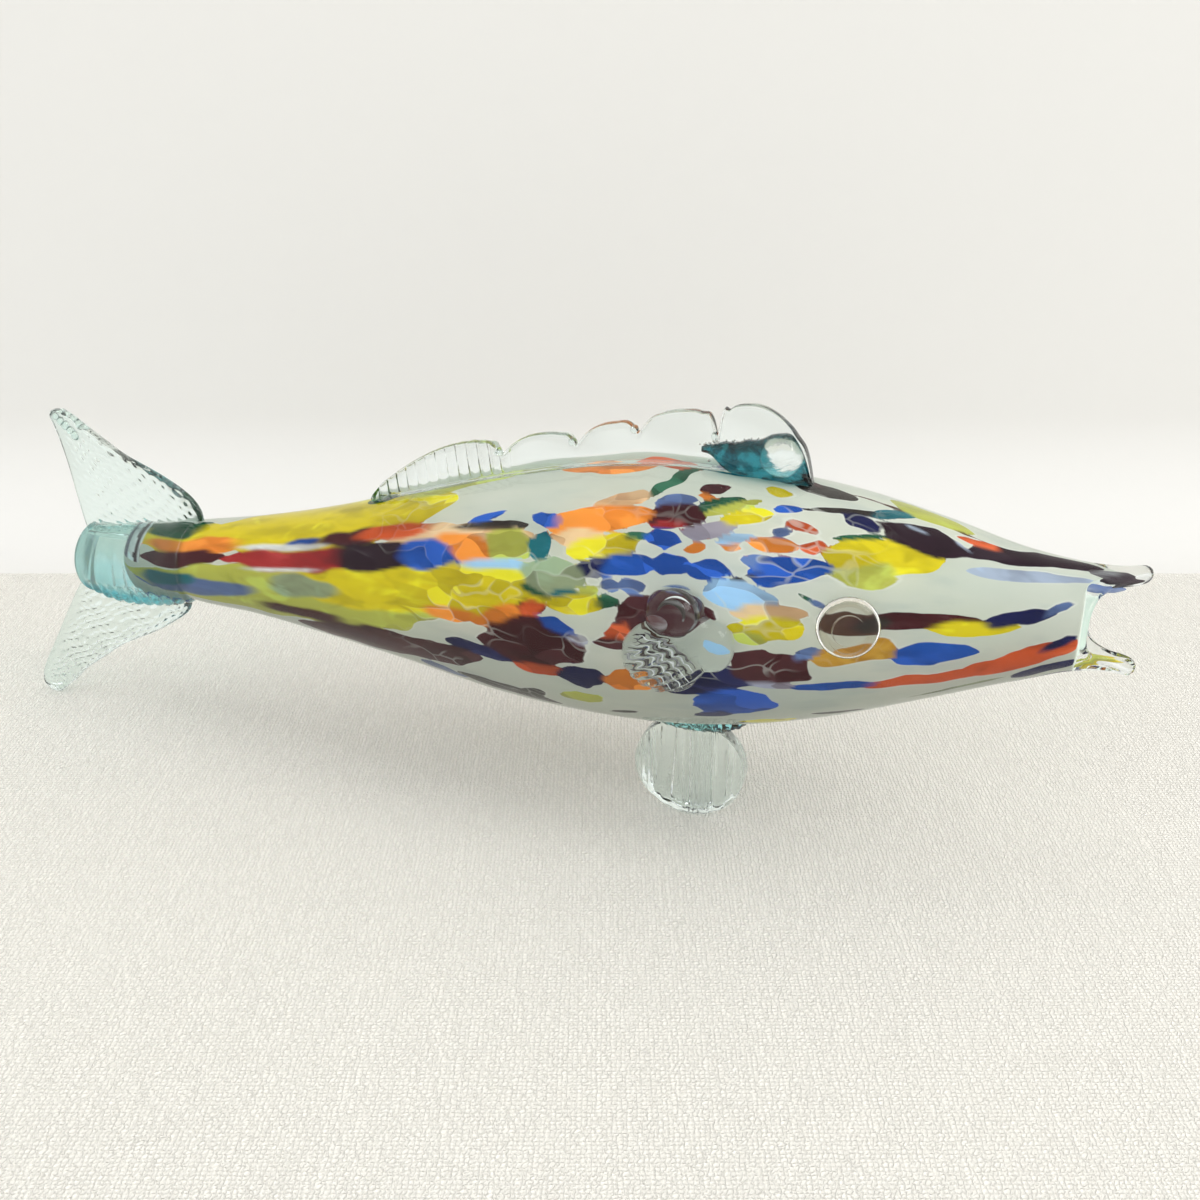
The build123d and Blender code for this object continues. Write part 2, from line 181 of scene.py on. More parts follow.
# The fish's edges of pinched glass, in millimetres: the dorsal fin's crest, one row
# for each scallop from the rear, as places along the fish and heights
DORSAL_SCALLOPS = (
    ((-36.6, 83.0), (-34.0, 86.6), (-30.0, 90.0), (-22.0, 95.7), (-14.4, 99.7), (-8.5, 101.7), (-2.6, 102.6),
     (1.0, 102.0), (2.8, 99.6)),
    ((2.8, 99.6), (5.6, 102.6), (9.6, 105.2), (14.6, 106.7), (18.8, 107.1), (22.0, 106.6), (23.6, 104.6)),
    ((23.6, 104.6), (26.2, 108.0), (29.6, 110.3), (33.8, 111.6), (38.0, 111.7), (40.2, 109.6)),
    ((40.2, 109.6), (42.8, 113.2), (46.8, 115.4), (51.5, 116.5), (56.2, 116.5), (59.2, 114.8), (60.6, 109.6)),
    ((60.6, 109.6), (61.2, 115.0), (63.4, 117.8), (68.0, 119.5), (75.5, 117.5), (80.1, 113.0), (83.2, 107.6),
     (84.7, 101.0)),
)

# Top edge of the teal gob under the front scallop, as places along the fish and heights
GOB_TOP = ((56.4, 107.4), (58.0, 108.4), (61.0, 109.1), (67.0, 110.2), (72.0, 111.5), (77.6, 113.3), (80.0, 112.0),
           (82.4, 107.6), (84.4, 101.6))

# The clear round window in that gob: its place along the fish and its height, and its soft edge
GOB_WINDOW = (77.2 * MM, 108.4 * MM)
GOB_WINDOW_EDGE = (4.5 * MM, 5.2 * MM)

# Where the crest curls over before the next scallop, in millimetres
DORSAL_CURLS = ((1.6, 100.2), (22.4, 105.2), (39.0, 110.2), (59.8, 110.6))

# Level sections of the tail lobes: height, rear edge and front edge
UPPER_LOBE = (
    (58.0, -135.0, -98.0), (63.0, -136.4, -95.0), (68.0, -137.2, -93.8), (72.0, -137.8, -94.6),
    (76.0, -138.3, -98.0), (80.8, -138.9, -106.4), (86.0, -139.8, -118.6), (90.0, -140.6, -125.2),
    (93.6, -141.6, -131.0), (96.4, -142.2, -135.6), (97.6, -141.2, -138.6),
)
LOWER_LOBE = (
    (46.0, -138.0, -104.0), (41.0, -142.8, -102.2), (37.0, -145.6, -104.0), (33.0, -148.2, -109.4),
    (28.0, -151.4, -117.6), (22.0, -155.0, -129.4), (16.0, -158.8, -138.2), (10.5, -162.2, -146.0),
    (5.0, -164.6, -152.0), (1.6, -164.0, -156.2), (0.2, -161.6, -158.0),
)

# Rings of the knuckle: place along the fish, centre height, height and width
KNUCKLE_RINGS = (
    (-135.6, 52.0, 17.2, 16.8), (-135.0, 51.9, 19.8, 19.4), (-132.0, 51.6, 22.0, 21.2),
    (-126.0, 51.4, 24.0, 22.8), (-118.0, 51.9, 25.6, 24.4), (-106.0, 53.6, 25.8, 24.8),
    (-99.0, 55.2, 25.2, 24.4), (-96.6, 55.5, 24.2, 23.4),
)

# The pectoral fin's lobes, in millimetres: place ahead of and above the fin's middle, and half sizes
PECTORAL_LOBES = (
    (-1.0, -2.6, 10.6, 9.6, 6.2), (1.0, 8.6, 7.2, 6.4, 7.4), (10.4, 0.6, 5.4, 6.6, 4.6), (4.5, 3.0, 7.0, 7.0, 5.0),
)
RIB_ARC_RADIUS, RIB_ARC_PITCH = 16.0, 1.15

# The disc under the belly, in millimetres
DISC_RADIUS, DISC_X, DISC_Z = 15.5, 56.5, 15.6

# The stage, in metres: how far its sheets reach to each side, and the bend at the wall's foot
SHEET_REACH = 2.5
WALL_BEND = 0.05

# Places along the blown body: where the casing's straight part ends and its lips begin, where the
# lips swell to their beads, and where the core's straight part and the core itself end
STRAIGHT_END, BEAD_START, BEAD_FULL = 132 * MM, 157 * MM, 163 * MM
CORE_STRAIGHT_END, CORE_END = 138 * MM, 149.6 * MM

# How far from the neck's end the layers are round, and how far from it the hollows start
CASING_ROUND, CORE_ROUND = 6 * MM, 5 * MM
CASING_HOLLOW, CORE_HOLLOW = 30 * MM, 31 * MM

# The core stands off from the casing's inner face by this much, so that the two don't touch
CORE_GAP = 0.1 * MM


def full_turn(count):
    """Angles once round, without the last."""
    return np.linspace(0, 2 * math.pi, count, endpoint=False)


def through(places, values, at):
    """A smooth curve through given points, read at other places."""
    places = np.asarray(places, float)
    values = np.asarray(values, float)
    at = np.clip(np.asarray(at, float), places[0], places[-1])
    slopes = np.gradient(values, places)
    low = np.clip(np.searchsorted(places, at, side="right") - 1, 0, len(places) - 2)
    step = places[low + 1] - places[low]
    t = (at - places[low]) / step
    start = (1 + 2 * t) * (1 - t) ** 2 * values[low] + t * (1 - t) ** 2 * step * slopes[low]
    end = t * t * (3 - 2 * t) * values[low + 1] + t * t * (t - 1) * step * slopes[low + 1]
    return start + end


def body_ring(x):
    """Centre height, half height and half width of the blown body at x."""
    along, rise, tall, wide = np.array(BODY_RINGS).T
    at = (np.asarray(x, float) - NECK_X) / BODY_LENGTH
    centre = NECK_AXIS_Z + through(along, rise, at) * (MOUTH_AXIS_Z - NECK_AXIS_Z)
    return centre, through(along, tall, at) * BODY_HEIGHT / 2, through(along, wide, at) * BODY_WIDTH / 2


def body_points(x, angle, inset):
    """Points of the blown form, drawn in by inset; the angle starts at the left side and goes up."""
    centre, tall, wide = body_ring(x)
    y = (wide - inset) * np.cos(angle)
    z = centre + (tall - inset) * np.sin(angle)
    return np.stack(np.broadcast_arrays(x, y, z), -1)


def tube(places, turn, inset):
    """Rings of the blown form at those places, drawn in by inset."""
    return [body_points(x, turn, inset) for x in places]


def neck_dome(start, radius, inset, turn, count):
    """Rings that close the neck, a quarter round from the pole at start to a full ring."""
    centre, tall, wide = body_ring(start + radius)
    rings = []
    for angle in np.linspace(0, math.pi / 2, count)[1:]:
        y = (wide - inset) * math.sin(angle) * np.cos(turn)
        z = centre + (tall - inset) * math.sin(angle) * np.sin(turn)
        rings.append(np.stack(np.broadcast_arrays(start + radius * (1 - math.cos(angle)), y, z), -1))
    return rings


def new_mesh(points, faces):
    """A smooth mesh of those points and faces; piece gives it its name."""
    mesh = bpy.data.meshes.new("glass")
    mesh.from_pydata(points, [], faces)
    mesh.polygons.foreach_set("use_smooth", [True] * len(faces))
    mesh.update()
    return mesh


def skin(rings):
    """A closed mesh through rings of points, with a pole at each end."""
    rings = np.asarray(rings, float)
    count, around = rings.shape[:2]
    points = np.vstack([rings.reshape(-1, 3), rings[0].mean(0)[None], rings[-1].mean(0)[None]])
    rows = np.arange(count - 1)[:, None] * around
    here = np.arange(around)
    after = (here + 1) % around
    quads = np.stack([rows + here, rows + after, rows + around + after, rows + around + here], -1).reshape(-1, 4)
    first_pole, last_row = count * around, (count - 1) * around
    first_fan = np.stack([np.full(around, first_pole), after, here], -1)
    last_fan = np.stack([np.full(around, first_pole + 1), last_row + here, last_row + after], -1)
    a, b, c = points[np.vstack([quads[:, [0, 1, 2]], quads[:, [0, 2, 3]], first_fan, last_fan])].swapaxes(0, 1)
    faces = quads.tolist() + first_fan.tolist() + last_fan.tolist()
    if np.einsum("ij,ij->i", a, np.cross(b, c)).sum() < 0:
        faces = [face[::-1] for face in faces]
    return new_mesh(points.tolist(), faces)


def join_meshes(meshes):
    """Several closed meshes as one, faces and all."""
    points, faces = [], []
    for mesh in meshes:
        start = len(points)
        points += [tuple(v.co) for v in mesh.vertices]
        faces += [[start + i for i in face.vertices] for face in mesh.polygons]
        bpy.data.meshes.remove(mesh)
    return new_mesh(points, faces)


def show(name, data):
    """A new object in the scene."""
    shown = bpy.data.objects.new(name, data)
    bpy.context.scene.collection.objects.link(shown)
    return shown


def applied(temporary):
    """The mesh that an object's modifiers make; the object itself goes."""
    mesh = bpy.data.meshes.new_from_object(temporary.evaluated_get(bpy.context.evaluated_depsgraph_get()))
    bpy.data.objects.remove(temporary)
    return mesh


def piece(name, mesh, material, slot, *nodes):
    """Shows a finished mesh: it rides on the fish, and stands for its solids."""
    mesh.name = name
    mesh.materials.clear()
    mesh.materials.append(material)
    shown = show(name, mesh)
    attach(shown, "root")
    if nodes:
        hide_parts(*nodes)


def point_values(items, field):
    """Three numbers for each of a mesh's points or normals."""
    values = np.empty(len(items) * 3)
    items.foreach_get(field, values)
    return values.reshape(-1, 3)


def store(mesh, name, kind, field, values):
    """Keeps a value for each point of a mesh, for its material to read."""
    layer = mesh.attributes.new(name, kind, "POINT")
    layer.data.foreach_set(field, values.astype(np.float32).ravel())


def wobble(points, size, seed):
    """Smooth noise from -1 to 1 at each point, with features of about that size."""
    shift = Vector((seed * 7.3, seed * 3.1, seed * 5.7))
    return np.array([noise.noise(Vector(p) + shift) for p in np.asarray(points, float) / size])


def gob_rings(centre, halves, axes=((1, 0, 0), (0, 1, 0), (0, 0, 1)), count=48, around=64):
    """Rings of an ellipsoid: its centre, its half sizes in millimetres and their directions."""
    turn = full_turn(around)[:, None]
    long, wide, high = (np.array(axis) * half * MM for axis, half in zip(axes, halves))
    return [np.array(centre) - long * math.cos(tip) + (np.cos(turn) * wide + np.sin(turn) * high) * math.sin(tip)
            for tip in np.linspace(0.02, math.pi - 0.02, count)]


class Wire:
    """An output of a node, so that shader sums are written as sums."""

    def __init__(self, nodes, socket):
        self.nodes, self.socket = nodes, socket

    def other(self, name):
        """Another output of the same node."""
        return Wire(self.nodes, self.socket.node.outputs[name])

    def _sum(self, operation, first, second):
        return self.nodes.node("ShaderNodeMath", {"operation": operation}, {0: first, 1: second})

    def __add__(self, value):
        return self._sum("ADD", self, value)

    def __sub__(self, value):
        return self._sum("SUBTRACT", self, value)

    def __rsub__(self, value):
        return self._sum("SUBTRACT", value, self)

    def __mul__(self, value):
        return self._sum("MULTIPLY", self, value)

    __radd__, __rmul__ = __add__, __mul__


class Nodes:
    """A node tree, and the one method that adds a node to it."""

    def __init__(self, tree):
        self.tree = tree
        tree.nodes.clear()

    def node(self, kind, settings=None, values=None, out=0):
        """Adds a node: its settings first, then the values or links of its sockets."""
        made = self.tree.nodes.new(kind)
        for name, value in (settings or {}).items():
            setattr(made, name, value)
        for name, value in (values or {}).items():
            socket = made.inputs[name]
            if isinstance(value, Wire):
                self.tree.links.new(value.socket, socket)
            else:
                socket.default_value = (*value, 1.0) if socket.type == "RGBA" else value
        return Wire(self, made.outputs[out]) if made.outputs else None


class Look(Nodes):
    """A material, with short ways to the nodes that the looks share."""

    def __init__(self, name):
        self.material = bpy.data.materials.new(name)
        self.material.use_nodes = True
        super().__init__(self.material.node_tree)

    def place(self):
        """Object coordinates."""
        return self.node("ShaderNodeTexCoord", out="Object")

    def stretched(self, scale, place=None):
        """Object coordinates, or another place, stretched."""
        return self.node("ShaderNodeMapping", None, {"Vector": place or self.place(), "Scale": scale})

    def noise(self, stretch, detail=2.0, scale=1.0, distortion=0.0, place=None):
        """Noise from 0 to 1."""
        return self.node("ShaderNodeTexNoise", None, {
            "Vector": self.stretched(stretch, place), "Scale": scale, "Detail": detail, "Distortion": distortion,
        })

    def kept(self, name, out="Fac"):
        """A value that the mesh keeps for each point."""
        return self.node("ShaderNodeAttribute", {"attribute_name": name}, out=out)

    def vector(self, operation, values, out=0):
        """A sum of vectors."""
        return self.node("ShaderNodeVectorMath", {"operation": operation}, values, out)

    def ramp(self, value, low, high):
        """A smooth step from 0 at low to 1 at high."""
        return self.node("ShaderNodeMapRange", {"interpolation_type": "SMOOTHSTEP"}, {
            "Value": value, "From Min": low, "From Max": high,
        })

    def mix(self, share, first, second, blend="MIX"):
        """Two colours mixed by a share."""
        settings = {"data_type": "RGBA", "blend_type": blend}
        return self.node("ShaderNodeMix", settings, {0: share, 6: first, 7: second}, out=2)

    def bump(self, height, distance, strength=1.0):
        """A normal that shows height."""
        return self.node("ShaderNodeBump", None, {"Height": height, "Distance": distance, "Strength": strength})

    def principled(self, colour, roughness, values):
        """Any plain surface."""
        values = {"Base Color": colour, "Roughness": roughness, **values}
        return self.node("ShaderNodeBsdfPrincipled", None, values)

    def glass(self, colour, roughness, height, distance, gloss=1.0):
        """Glass that bends light."""
        return self.principled(colour, roughness, {
            "IOR": 1.5, "Specular Tint": (gloss,) * 3, "Transmission Weight": 1.0,
            "Normal": self.bump(height, distance),
        })

    def blend(self, share, first, second):
        """Two surfaces mixed by a share."""
        return self.node("ShaderNodeMixShader", None, {0: share, 1: first, 2: second})

    def surface(self, shader):
        """Ends the material with that shader."""
        self.node("ShaderNodeOutputMaterial", None, {"Surface": shader})
        return self.material

    def lit_through(self, shader, shade):
        """Ends the material with glass that lets lamps through to what is under it."""
        open_way = self.node("ShaderNodeBsdfTransparent", None, {"Color": shade})
        return self.surface(self.blend(self.node("ShaderNodeLightPath", out="Is Shadow Ray"), shader, open_way))


def clear_look(name, tint, shade, roughness, height, distance, gloss=1.0):
    """Clear or tinted glass with a gentle relief."""
    look = Look(name)
    return look.lit_through(look.glass(tint, roughness, height(look), distance, gloss), shade)


def teal_look(colour):
    """Teal glass with darker swirls, and the clear round window near its front end."""
    look = Look("teal_glass")
    swirl = look.noise((110.0, 60.0, 160.0), 3.0, distortion=2.5)
    from_window = look.node("ShaderNodeMapping", None, {
        "Vector": look.place(), "Location": (-GOB_WINDOW[0], 0.0, -GOB_WINDOW[1]), "Scale": (1.0, 0.0, 1.0),
    })
    away = look.vector("LENGTH", {0: from_window}, "Value")
    deep = look.mix(look.ramp(swirl, 0.40, 0.62), (0.0, 0.05, 0.075), colour)
    tint = look.mix(look.ramp(away, *GOB_WINDOW_EDGE), (0.98, 1.0, 1.0), deep)
    return look.lit_through(look.glass(tint, 0.02, swirl, 0.3 * MM), (0.35, 0.62, 0.64))


def knuckle_look(colour):
    """Aqua glass: clear round the neck, sage and a little cloudy behind it, and bright below."""
    look = Look("aqua_glass")
    along = look.node("ShaderNodeSeparateXYZ", None, {0: look.place()})
    marks = look.noise((60.0, 110.0, 260.0), 3.0, distortion=1.0)
    stray = (marks - 0.5) * 4 * MM
    wrapped = look.ramp(along + stray * 2, -122 * MM, -108 * MM)
    sage = look.mix(wrapped, (0.56, 0.79, 0.74), (0.88, 0.96, 0.94))
    tint = look.mix(look.ramp(along.other("Z") + stray, 48.5 * MM, 44.0 * MM), sage, colour)
    clear = look.glass(tint, 0.03, marks, 0.12 * MM)
    cloudy = look.principled(look.mix(1.0, tint, (0.72, 0.74, 0.74), "MULTIPLY"), 0.2, {
        "Normal": look.bump(marks, 0.12 * MM),
    })
    return look.lit_through(look.blend((1.0 - wrapped) * 0.22, clear, cloudy), (0.72, 0.88, 0.88))


def draw_lines(look):
    """Fine lines drawn out along the fish, as in stretched glass."""
    return look.noise((12.0, 90.0, 90.0), 3.0, scale=4.0) * 0.5 + look.noise((40.0, 60.0, 60.0), 1.0)


def hand_waves(look):
    """Slow waves of glass that was shaped by hand."""
    return look.noise((120.0, 120.0, 120.0))


def pincer_marks(look):
    """Small crossed marks of ribbed pincers."""
    return look.noise((420.0, 420.0, 420.0)) * 0.4 + look.noise((150.0, 150.0, 150.0), 1.0)


def length(name, description, default):
    """A length that a user would change."""
    return FloatProperty(name=name, description=description, default=default, min=0, unit="LENGTH")


def colour(name, description, default):
    """A colour that a user would change."""
    return FloatVectorProperty(name=name, description=description, default=default, subtype="COLOR", min=0, max=1)


class FishSizes(bpy.types.PropertyGroup):
    """Sizes of the glass that a user would change."""

    casing_wall: length("Casing wall", "Clear glass over the opal core", 1.9 * MM)
    body_wall: length("Body wall", "Casing and core together", 3.6 * MM)
    lip_bead: length("Lip bead", "Radius of the bead at each lip's tip", 2.5 * MM)
    rim_bead: length("Fin rim bead", "Half thickness of a fin's melted rim", 0.9 * MM)
    rib_pitch: length("Dorsal rib pitch", "Distance between the pincers' marks", 3.2 * MM)
    bubbles: IntProperty(
        name="Bubbles", description="Seed bubbles in the line over the teal gob", default=34, min=1)


class FishColours(bpy.types.PropertyGroup):
    """Colours of the glass that a user would change."""

    opal: colour("Opal", "The blown inner bubble", (0.57, 0.61, 0.535))
    aqua: colour("Aqua", "The tail's glass", (0.14, 0.68, 0.80))
    teal: colour("Teal", "Thick gobs under the fins", (0.02, 0.27, 0.34))
    clear: colour("Clear", "The casing over the chips", (0.96, 0.99, 0.98))


class StageSettings(bpy.types.PropertyGroup):
    """The cloth, the wall and the lights around the fish."""

    cloth: colour("Cloth", "The table's woven cloth", (0.92, 0.90, 0.84))
    wall: colour("Wall", "The wall behind", (0.755, 0.75, 0.73))
    wall_away: length("Wall distance", "How far from the camera the wall stands", 0.472)
    window: FloatProperty(
        name="Lights", description="Strength of all three lamps, as a share of the photograph's", default=1.0, min=0)


# The chips' colours, as light that the glass sends back
GLASS_COLOURS = {
    "yellow": (0.74, 0.61, 0.012),
    "olive": (0.50, 0.52, 0.09),
    "sage": (0.30, 0.36, 0.22),
    "orange": (0.83, 0.25, 0.03),
    "peach": (0.72, 0.46, 0.25),
    "rust": (0.66, 0.10, 0.025),
    "red": (0.42, 0.030, 0.030),
    "burgundy": (0.060, 0.008, 0.012),
    "plum": (0.020, 0.006, 0.014),
    "soot": (0.03, 0.022, 0.018),
    "cobalt": (0.012, 0.085, 0.42),
    "navy": (0.008, 0.010, 0.075),
    "slate": (0.11, 0.17, 0.36),
    "sky": (0.32, 0.50, 0.70),
    "lavender": (0.36, 0.33, 0.40),
    "teal": (0.01, 0.15, 0.19),
    "forest": (0.015, 0.10, 0.05),
    "amber": (0.52, 0.26, 0.03),
    "umber": (0.085, 0.036, 0.02),
    # The pale blue and the white below also colour streaks that are painted highlights.
    "mist_and_highlight": (0.40, 0.47, 0.60),
    "pearl_and_highlight": (0.80, 0.84, 0.84),
}


# A chip more than this many times as long as wide is drawn out to points
DRAWN_OUT = 2.6


def photo_ray(pixel):
    """Where a pixel of the photograph looks, from the camera."""
    ahead = CAMERA_AHEAD.normalized()
    right = ahead.cross(Vector((0, 0, 1))).normalized()
    aside, down = (np.array(pixel) - PHOTO_SIDE / 2) / PHOTO_FOCAL
    return (ahead + right * aside - right.cross(ahead) * down).normalized()


def body_place(tree, pixel):
    """Where a pixel meets the body: the place, the angle round it and how squarely it is seen."""
    pixel = np.array(pixel, float)
    axis = AXIS_START[1] + (pixel[0] - AXIS_START[0]) * AXIS_SLOPE
    for _ in range(30):
        ray = photo_ray(pixel)
        hit, normal, *_ = tree.ray_cast(CAMERA_PLACE, ray)
        if hit is not None:
            break
        pixel[1] += (axis - pixel[1]) * 0.06
        pixel[0] = np.clip(pixel[0], *BODY_PIXELS)
    centre, tall, wide = body_ring(hit.x)
    return hit, math.atan2((hit.z - centre) / tall, hit.y / wide) % (2 * math.pi), abs(ray.dot(normal))


def photo_chips(tree):
    """The chips of the side that the photograph shows: colour, two ends on the body and width."""
    chips = []
    for colour, x0, y0, x1, y1, width in CHIPS:
        first, first_turn, _ = body_place(tree, (x0, y0))
        last, last_turn, _ = body_place(tree, (x1, y1))
        hit, _, square = body_place(tree, ((x0 + x1) / 2, (y0 + y1) / 2))
        wide = 1.22 * width * (hit - CAMERA_PLACE).length / PHOTO_FOCAL / max(square, 0.45)
        chips.append((colour, (first.x, first_turn), (last.x, last_turn), wide))
    return chips


def far_side_chips(seed, count):
    """Chips for the sides that the photograph doesn't show, longer towards the tail and the mouth."""
    rng = np.random.default_rng(seed)
    names = ["yellow", "yellow", "orange", "burgundy", "cobalt", "cobalt", "rust", "olive", "navy", "forest", "slate",
             "sky", "peach", "plum"]
    chips = []
    for _ in range(count):
        along = rng.uniform(0.03, 0.97)
        angle = rng.uniform(-1.85, 1.05)
        middle = math.exp(-((along - 0.6) / 0.17) ** 2)
        length = (0.011 + 0.062 * (1 - middle)) * rng.uniform(0.6, 1.5)
        x = NECK_X + along * BODY_LENGTH
        _, tall, _ = body_ring(x)
        width = float(tall) * rng.uniform(0.12, 0.30) * (1.15 if middle > 0.5 else 1.0)
        lean = rng.uniform(-0.10, 0.10) * middle
        name = names[rng.integers(len(names))]
        chips.append((name, (x - length / 2, angle - lean), (x + length / 2, angle + lean), width))
    return chips


def chip_depth(rng, u, v, half, width):
    """How deep points lie in a chip: a short one has blunt corners, and a drawn-out one ends in points."""
    size = width / 2
    if half / size > DRAWN_OUT:
        bent = u + rng.uniform(-0.3, 0.3) * (1 - u * u)
        shape = np.clip(1 - np.abs(bent) ** 2.6, 0, 1) ** 0.72
        return np.minimum((shape - np.abs(v)) * size, (1 - np.abs(u)) * half)
    count = int(rng.integers(6, 9))
    start = rng.uniform(0, 1)
    deep = 1.04 - np.sqrt(u * u + v * v)
    for corner in range(count):
        turn = 2 * math.pi * (corner + start + rng.uniform(-0.22, 0.22)) / count
        deep = np.minimum(deep, rng.uniform(0.72, 0.97) - (u * math.cos(turn) + v * math.sin(turn)))
    return deep * size


def paint_chips(mesh, outer_count, tree):
    """Stores on the core how deep each point lies in a chip, and that chip's colour."""
    points = point_values(mesh.vertices, "co")
    count = len(points)
    centre, tall, wide = body_ring(points[:, 0])
    angle = np.arctan2((points[:, 2] - centre) / tall, points[:, 1] / wide)
    radius = (tall + wide) / 2
    stretched = points * np.array([0.5, 1.0, 1.0])
    bend, shift = wobble(stretched, 5.0 * MM, 1), wobble(stretched, 4.0 * MM, 3)
    ripple = wobble(stretched, 1.7 * MM, 2)
    depth = np.full(count, -1.0)
    colours = np.tile(np.array([0.5, 0.5, 0.5, 1.0]), (count, 1))
    rng = np.random.default_rng(5)
    for colour, first, last, width in far_side_chips(11, 150) + photo_chips(tree):
        turn = (angle - (first[1] + last[1]) / 2 + math.pi) % (2 * math.pi) - math.pi
        half = max(abs(last[0] - first[0]) * 0.54, 1.5 * MM)
        reach = min(width * 0.22, 1.5 * MM)
        along = (points[:, 0] + shift * reach * 1.4 - (first[0] + last[0]) / 2) / half
        slope = (last[1] - first[1]) / 2 * np.clip(along, -1.2, 1.2)
        side = (turn - slope) * radius + bend * reach
        deep = chip_depth(rng, along, side / (width / 2), half, width) + ripple * 0.22 * MM
        under = depth > 0
        on_top = (deep > 0) | (deep > depth)
        share = np.clip(deep / (1.1 * MM) + 0.5, 0, 1)
        if half > DRAWN_OUT * width / 2:
            share = share * np.clip((1 - np.abs(along)) * half / min(9 * MM, half / 2), 0, 1)
        share = np.where(under, share * share * (3 - 2 * share), on_top * 1.0)
        depth = np.where(on_top, np.where(under, np.maximum(deep, np.minimum(depth, 1.2 * MM)), deep), depth)
        colours[:, :3] += (np.array(GLASS_COLOURS[colour]) - colours[:, :3]) * share[:, None]
    for colour, place, width in NECK_ARCS:
        deep = width / 2 * MM - np.abs(points[:, 0] - place * MM) + ripple * 0.2 * MM
        band = (deep > 0) & (np.sin(angle) > 0.05)
        depth = np.where(band, deep, depth)
        colours[band] = (*GLASS_COLOURS[colour], 1.0)
    depth[outer_count:] = -1.0
    store(mesh, "inside", "FLOAT", "value", np.arange(count) >= outer_count)
    store(mesh, "chip_depth", "FLOAT", "value", np.clip(depth / MM, -3, 6))
    store(mesh, "chip_colour", "FLOAT_COLOR", "color", colours)


def opal_look(colour):
    """Opal glass, with the coloured chips that were rolled on it, and a painted glow on its inner face in place of
    light coming through the opal.
    """
    look = Look("opal_with_chips")
    depth, inside, chip = look.kept("chip_depth"), look.kept("inside"), look.kept("chip_colour", "Color")
    cloud = look.noise((20.0, 70.0, 70.0), 3.0)
    fine = look.noise((170.0, 420.0, 420.0))
    drawn = look.noise((28.0, 190.0, 190.0), 4.0)
    patch = look.noise((70.0, 160.0, 160.0), distortion=0.6)

    # Opal between the chips, with white veins beside them, which are partly a painted highlight along the chips'
    # edges
    edge = depth + (fine - 0.5) * 0.6
    pale = look.mix(look.ramp(cloud, 0.35, 0.7), colour, (0.64, 0.66, 0.58))
    streaked = look.mix(look.ramp(drawn, 0.5, 0.75) * 0.4, pale, (0.42, 0.49, 0.46))
    vein_and_edge_highlight = look.ramp(edge, -0.5, -0.14) * look.ramp(edge, 0.04, -0.08) * look.ramp(cloud, 0.42, 0.62)
    opal = look.mix(vein_and_edge_highlight * 0.55, streaked, (0.74, 0.76, 0.71))

    # Flakes and white seams of crushed glass, where the chips are crowded in the fish's middle
    stray = look.vector("SCALE", {0: look.noise((80.0, 120.0, 120.0), 1.0).other("Color"), "Scale": 1.6})
    crushed = {"Vector": look.vector("ADD", {0: look.stretched((85.0, 190.0, 190.0)), 1: stray}), "Scale": 1.0}
    flake = look.node("ShaderNodeTexVoronoi", None, crushed, "Color")
    flake = look.node("ShaderNodeSeparateColor", None, {0: flake})
    seam = look.node("ShaderNodeTexVoronoi", {"feature": "DISTANCE_TO_EDGE"}, crushed)
    along = look.node("ShaderNodeSeparateXYZ", None, {0: look.place()})
    crowded = look.ramp(along, -42 * MM, 4 * MM) * look.ramp(along, 112 * MM, 84 * MM)

    # A chip's own tones, and its pale rim, paler where it is thin and partly a painted highlight along its edge
    dark = look.mix(1.0, chip, (0.50, 0.48, 0.50), "MULTIPLY")
    light = look.mix(0.02, look.mix(1.0, chip, (1.3, 1.5, 1.6), "MULTIPLY"), (0.80, 0.80, 0.72))
    thin = look.ramp(edge, 0.26, 0.0) * look.ramp(cloud, 0.36, 0.56) * 0.6
    toned = look.mix(thin, chip, (0.70, 0.71, 0.66))
    for share, tone in (
        (look.ramp(drawn, 0.42, 0.72) * 0.55, dark),
        (look.ramp(patch, 0.52, 0.72) * 0.5, dark),
        (look.ramp(patch, 0.46, 0.28) * 0.7, light),
        (look.ramp(flake, 0.60, 0.66) * crowded * 0.5, dark),
        (look.ramp(flake, 0.34, 0.28) * crowded * 0.7, light),
        (look.ramp(seam, 0.06, 0.01) * look.ramp(cloud, 0.46, 0.60) * crowded * 0.34, (0.74, 0.76, 0.70)),
    ):
        toned = look.mix(share, toned, tone)
    covered = look.ramp(edge, -0.05, 0.06)
    # Painted light: the inner face of the core glows pale by emission, in place of light that would come through the
    # opal.
    return look.surface(look.principled(look.mix(covered, opal, toned), 0.4, {
        "Specular IOR Level": 0.05, "Emission Strength": 1.0,
        "Emission Color": look.mix(inside, (0.0, 0.0, 0.0), (0.40, 0.45, 0.43)),
    }))


def drawn_look(name, colour):
    """A strand of coloured glass, paler where it was drawn thin."""
    look = Look(name)
    thin = look.ramp(look.noise((60.0, 420.0, 420.0), 3.0), 0.45, 0.7) * 0.5
    return look.surface(look.principled(look.mix(thin, GLASS_COLOURS[colour], (0.55, 0.58, 0.60)), 0.4, {}))


def air_look():
    """Air inside the glass, for bubbles and threads of it."""
    look = Look("trapped_air")
    return look.surface(look.principled((0.9, 0.88, 0.84), 0.02, {"Transmission Weight": 1.0, "IOR": 0.67}))


def streak_mesh(turn, start, end, inset, thick, wide):
    """A flat strand of colour inside the wall, pointed at both ends."""
    rings = []
    around = full_turn(16)
    for share in np.linspace(0.01, 0.99, 60):
        x = start + (end - start) * share
        _, tall, _ = body_ring(x)
        taper = min(1.0, (1 - share) * 4, share * 12) ** 0.6
        bent = turn + wide / 2 * taper / tall * np.cos(around)
        rings.append(body_points(x, bent, inset + thick / 2 * taper * np.sin(around)))
    return skin(rings)


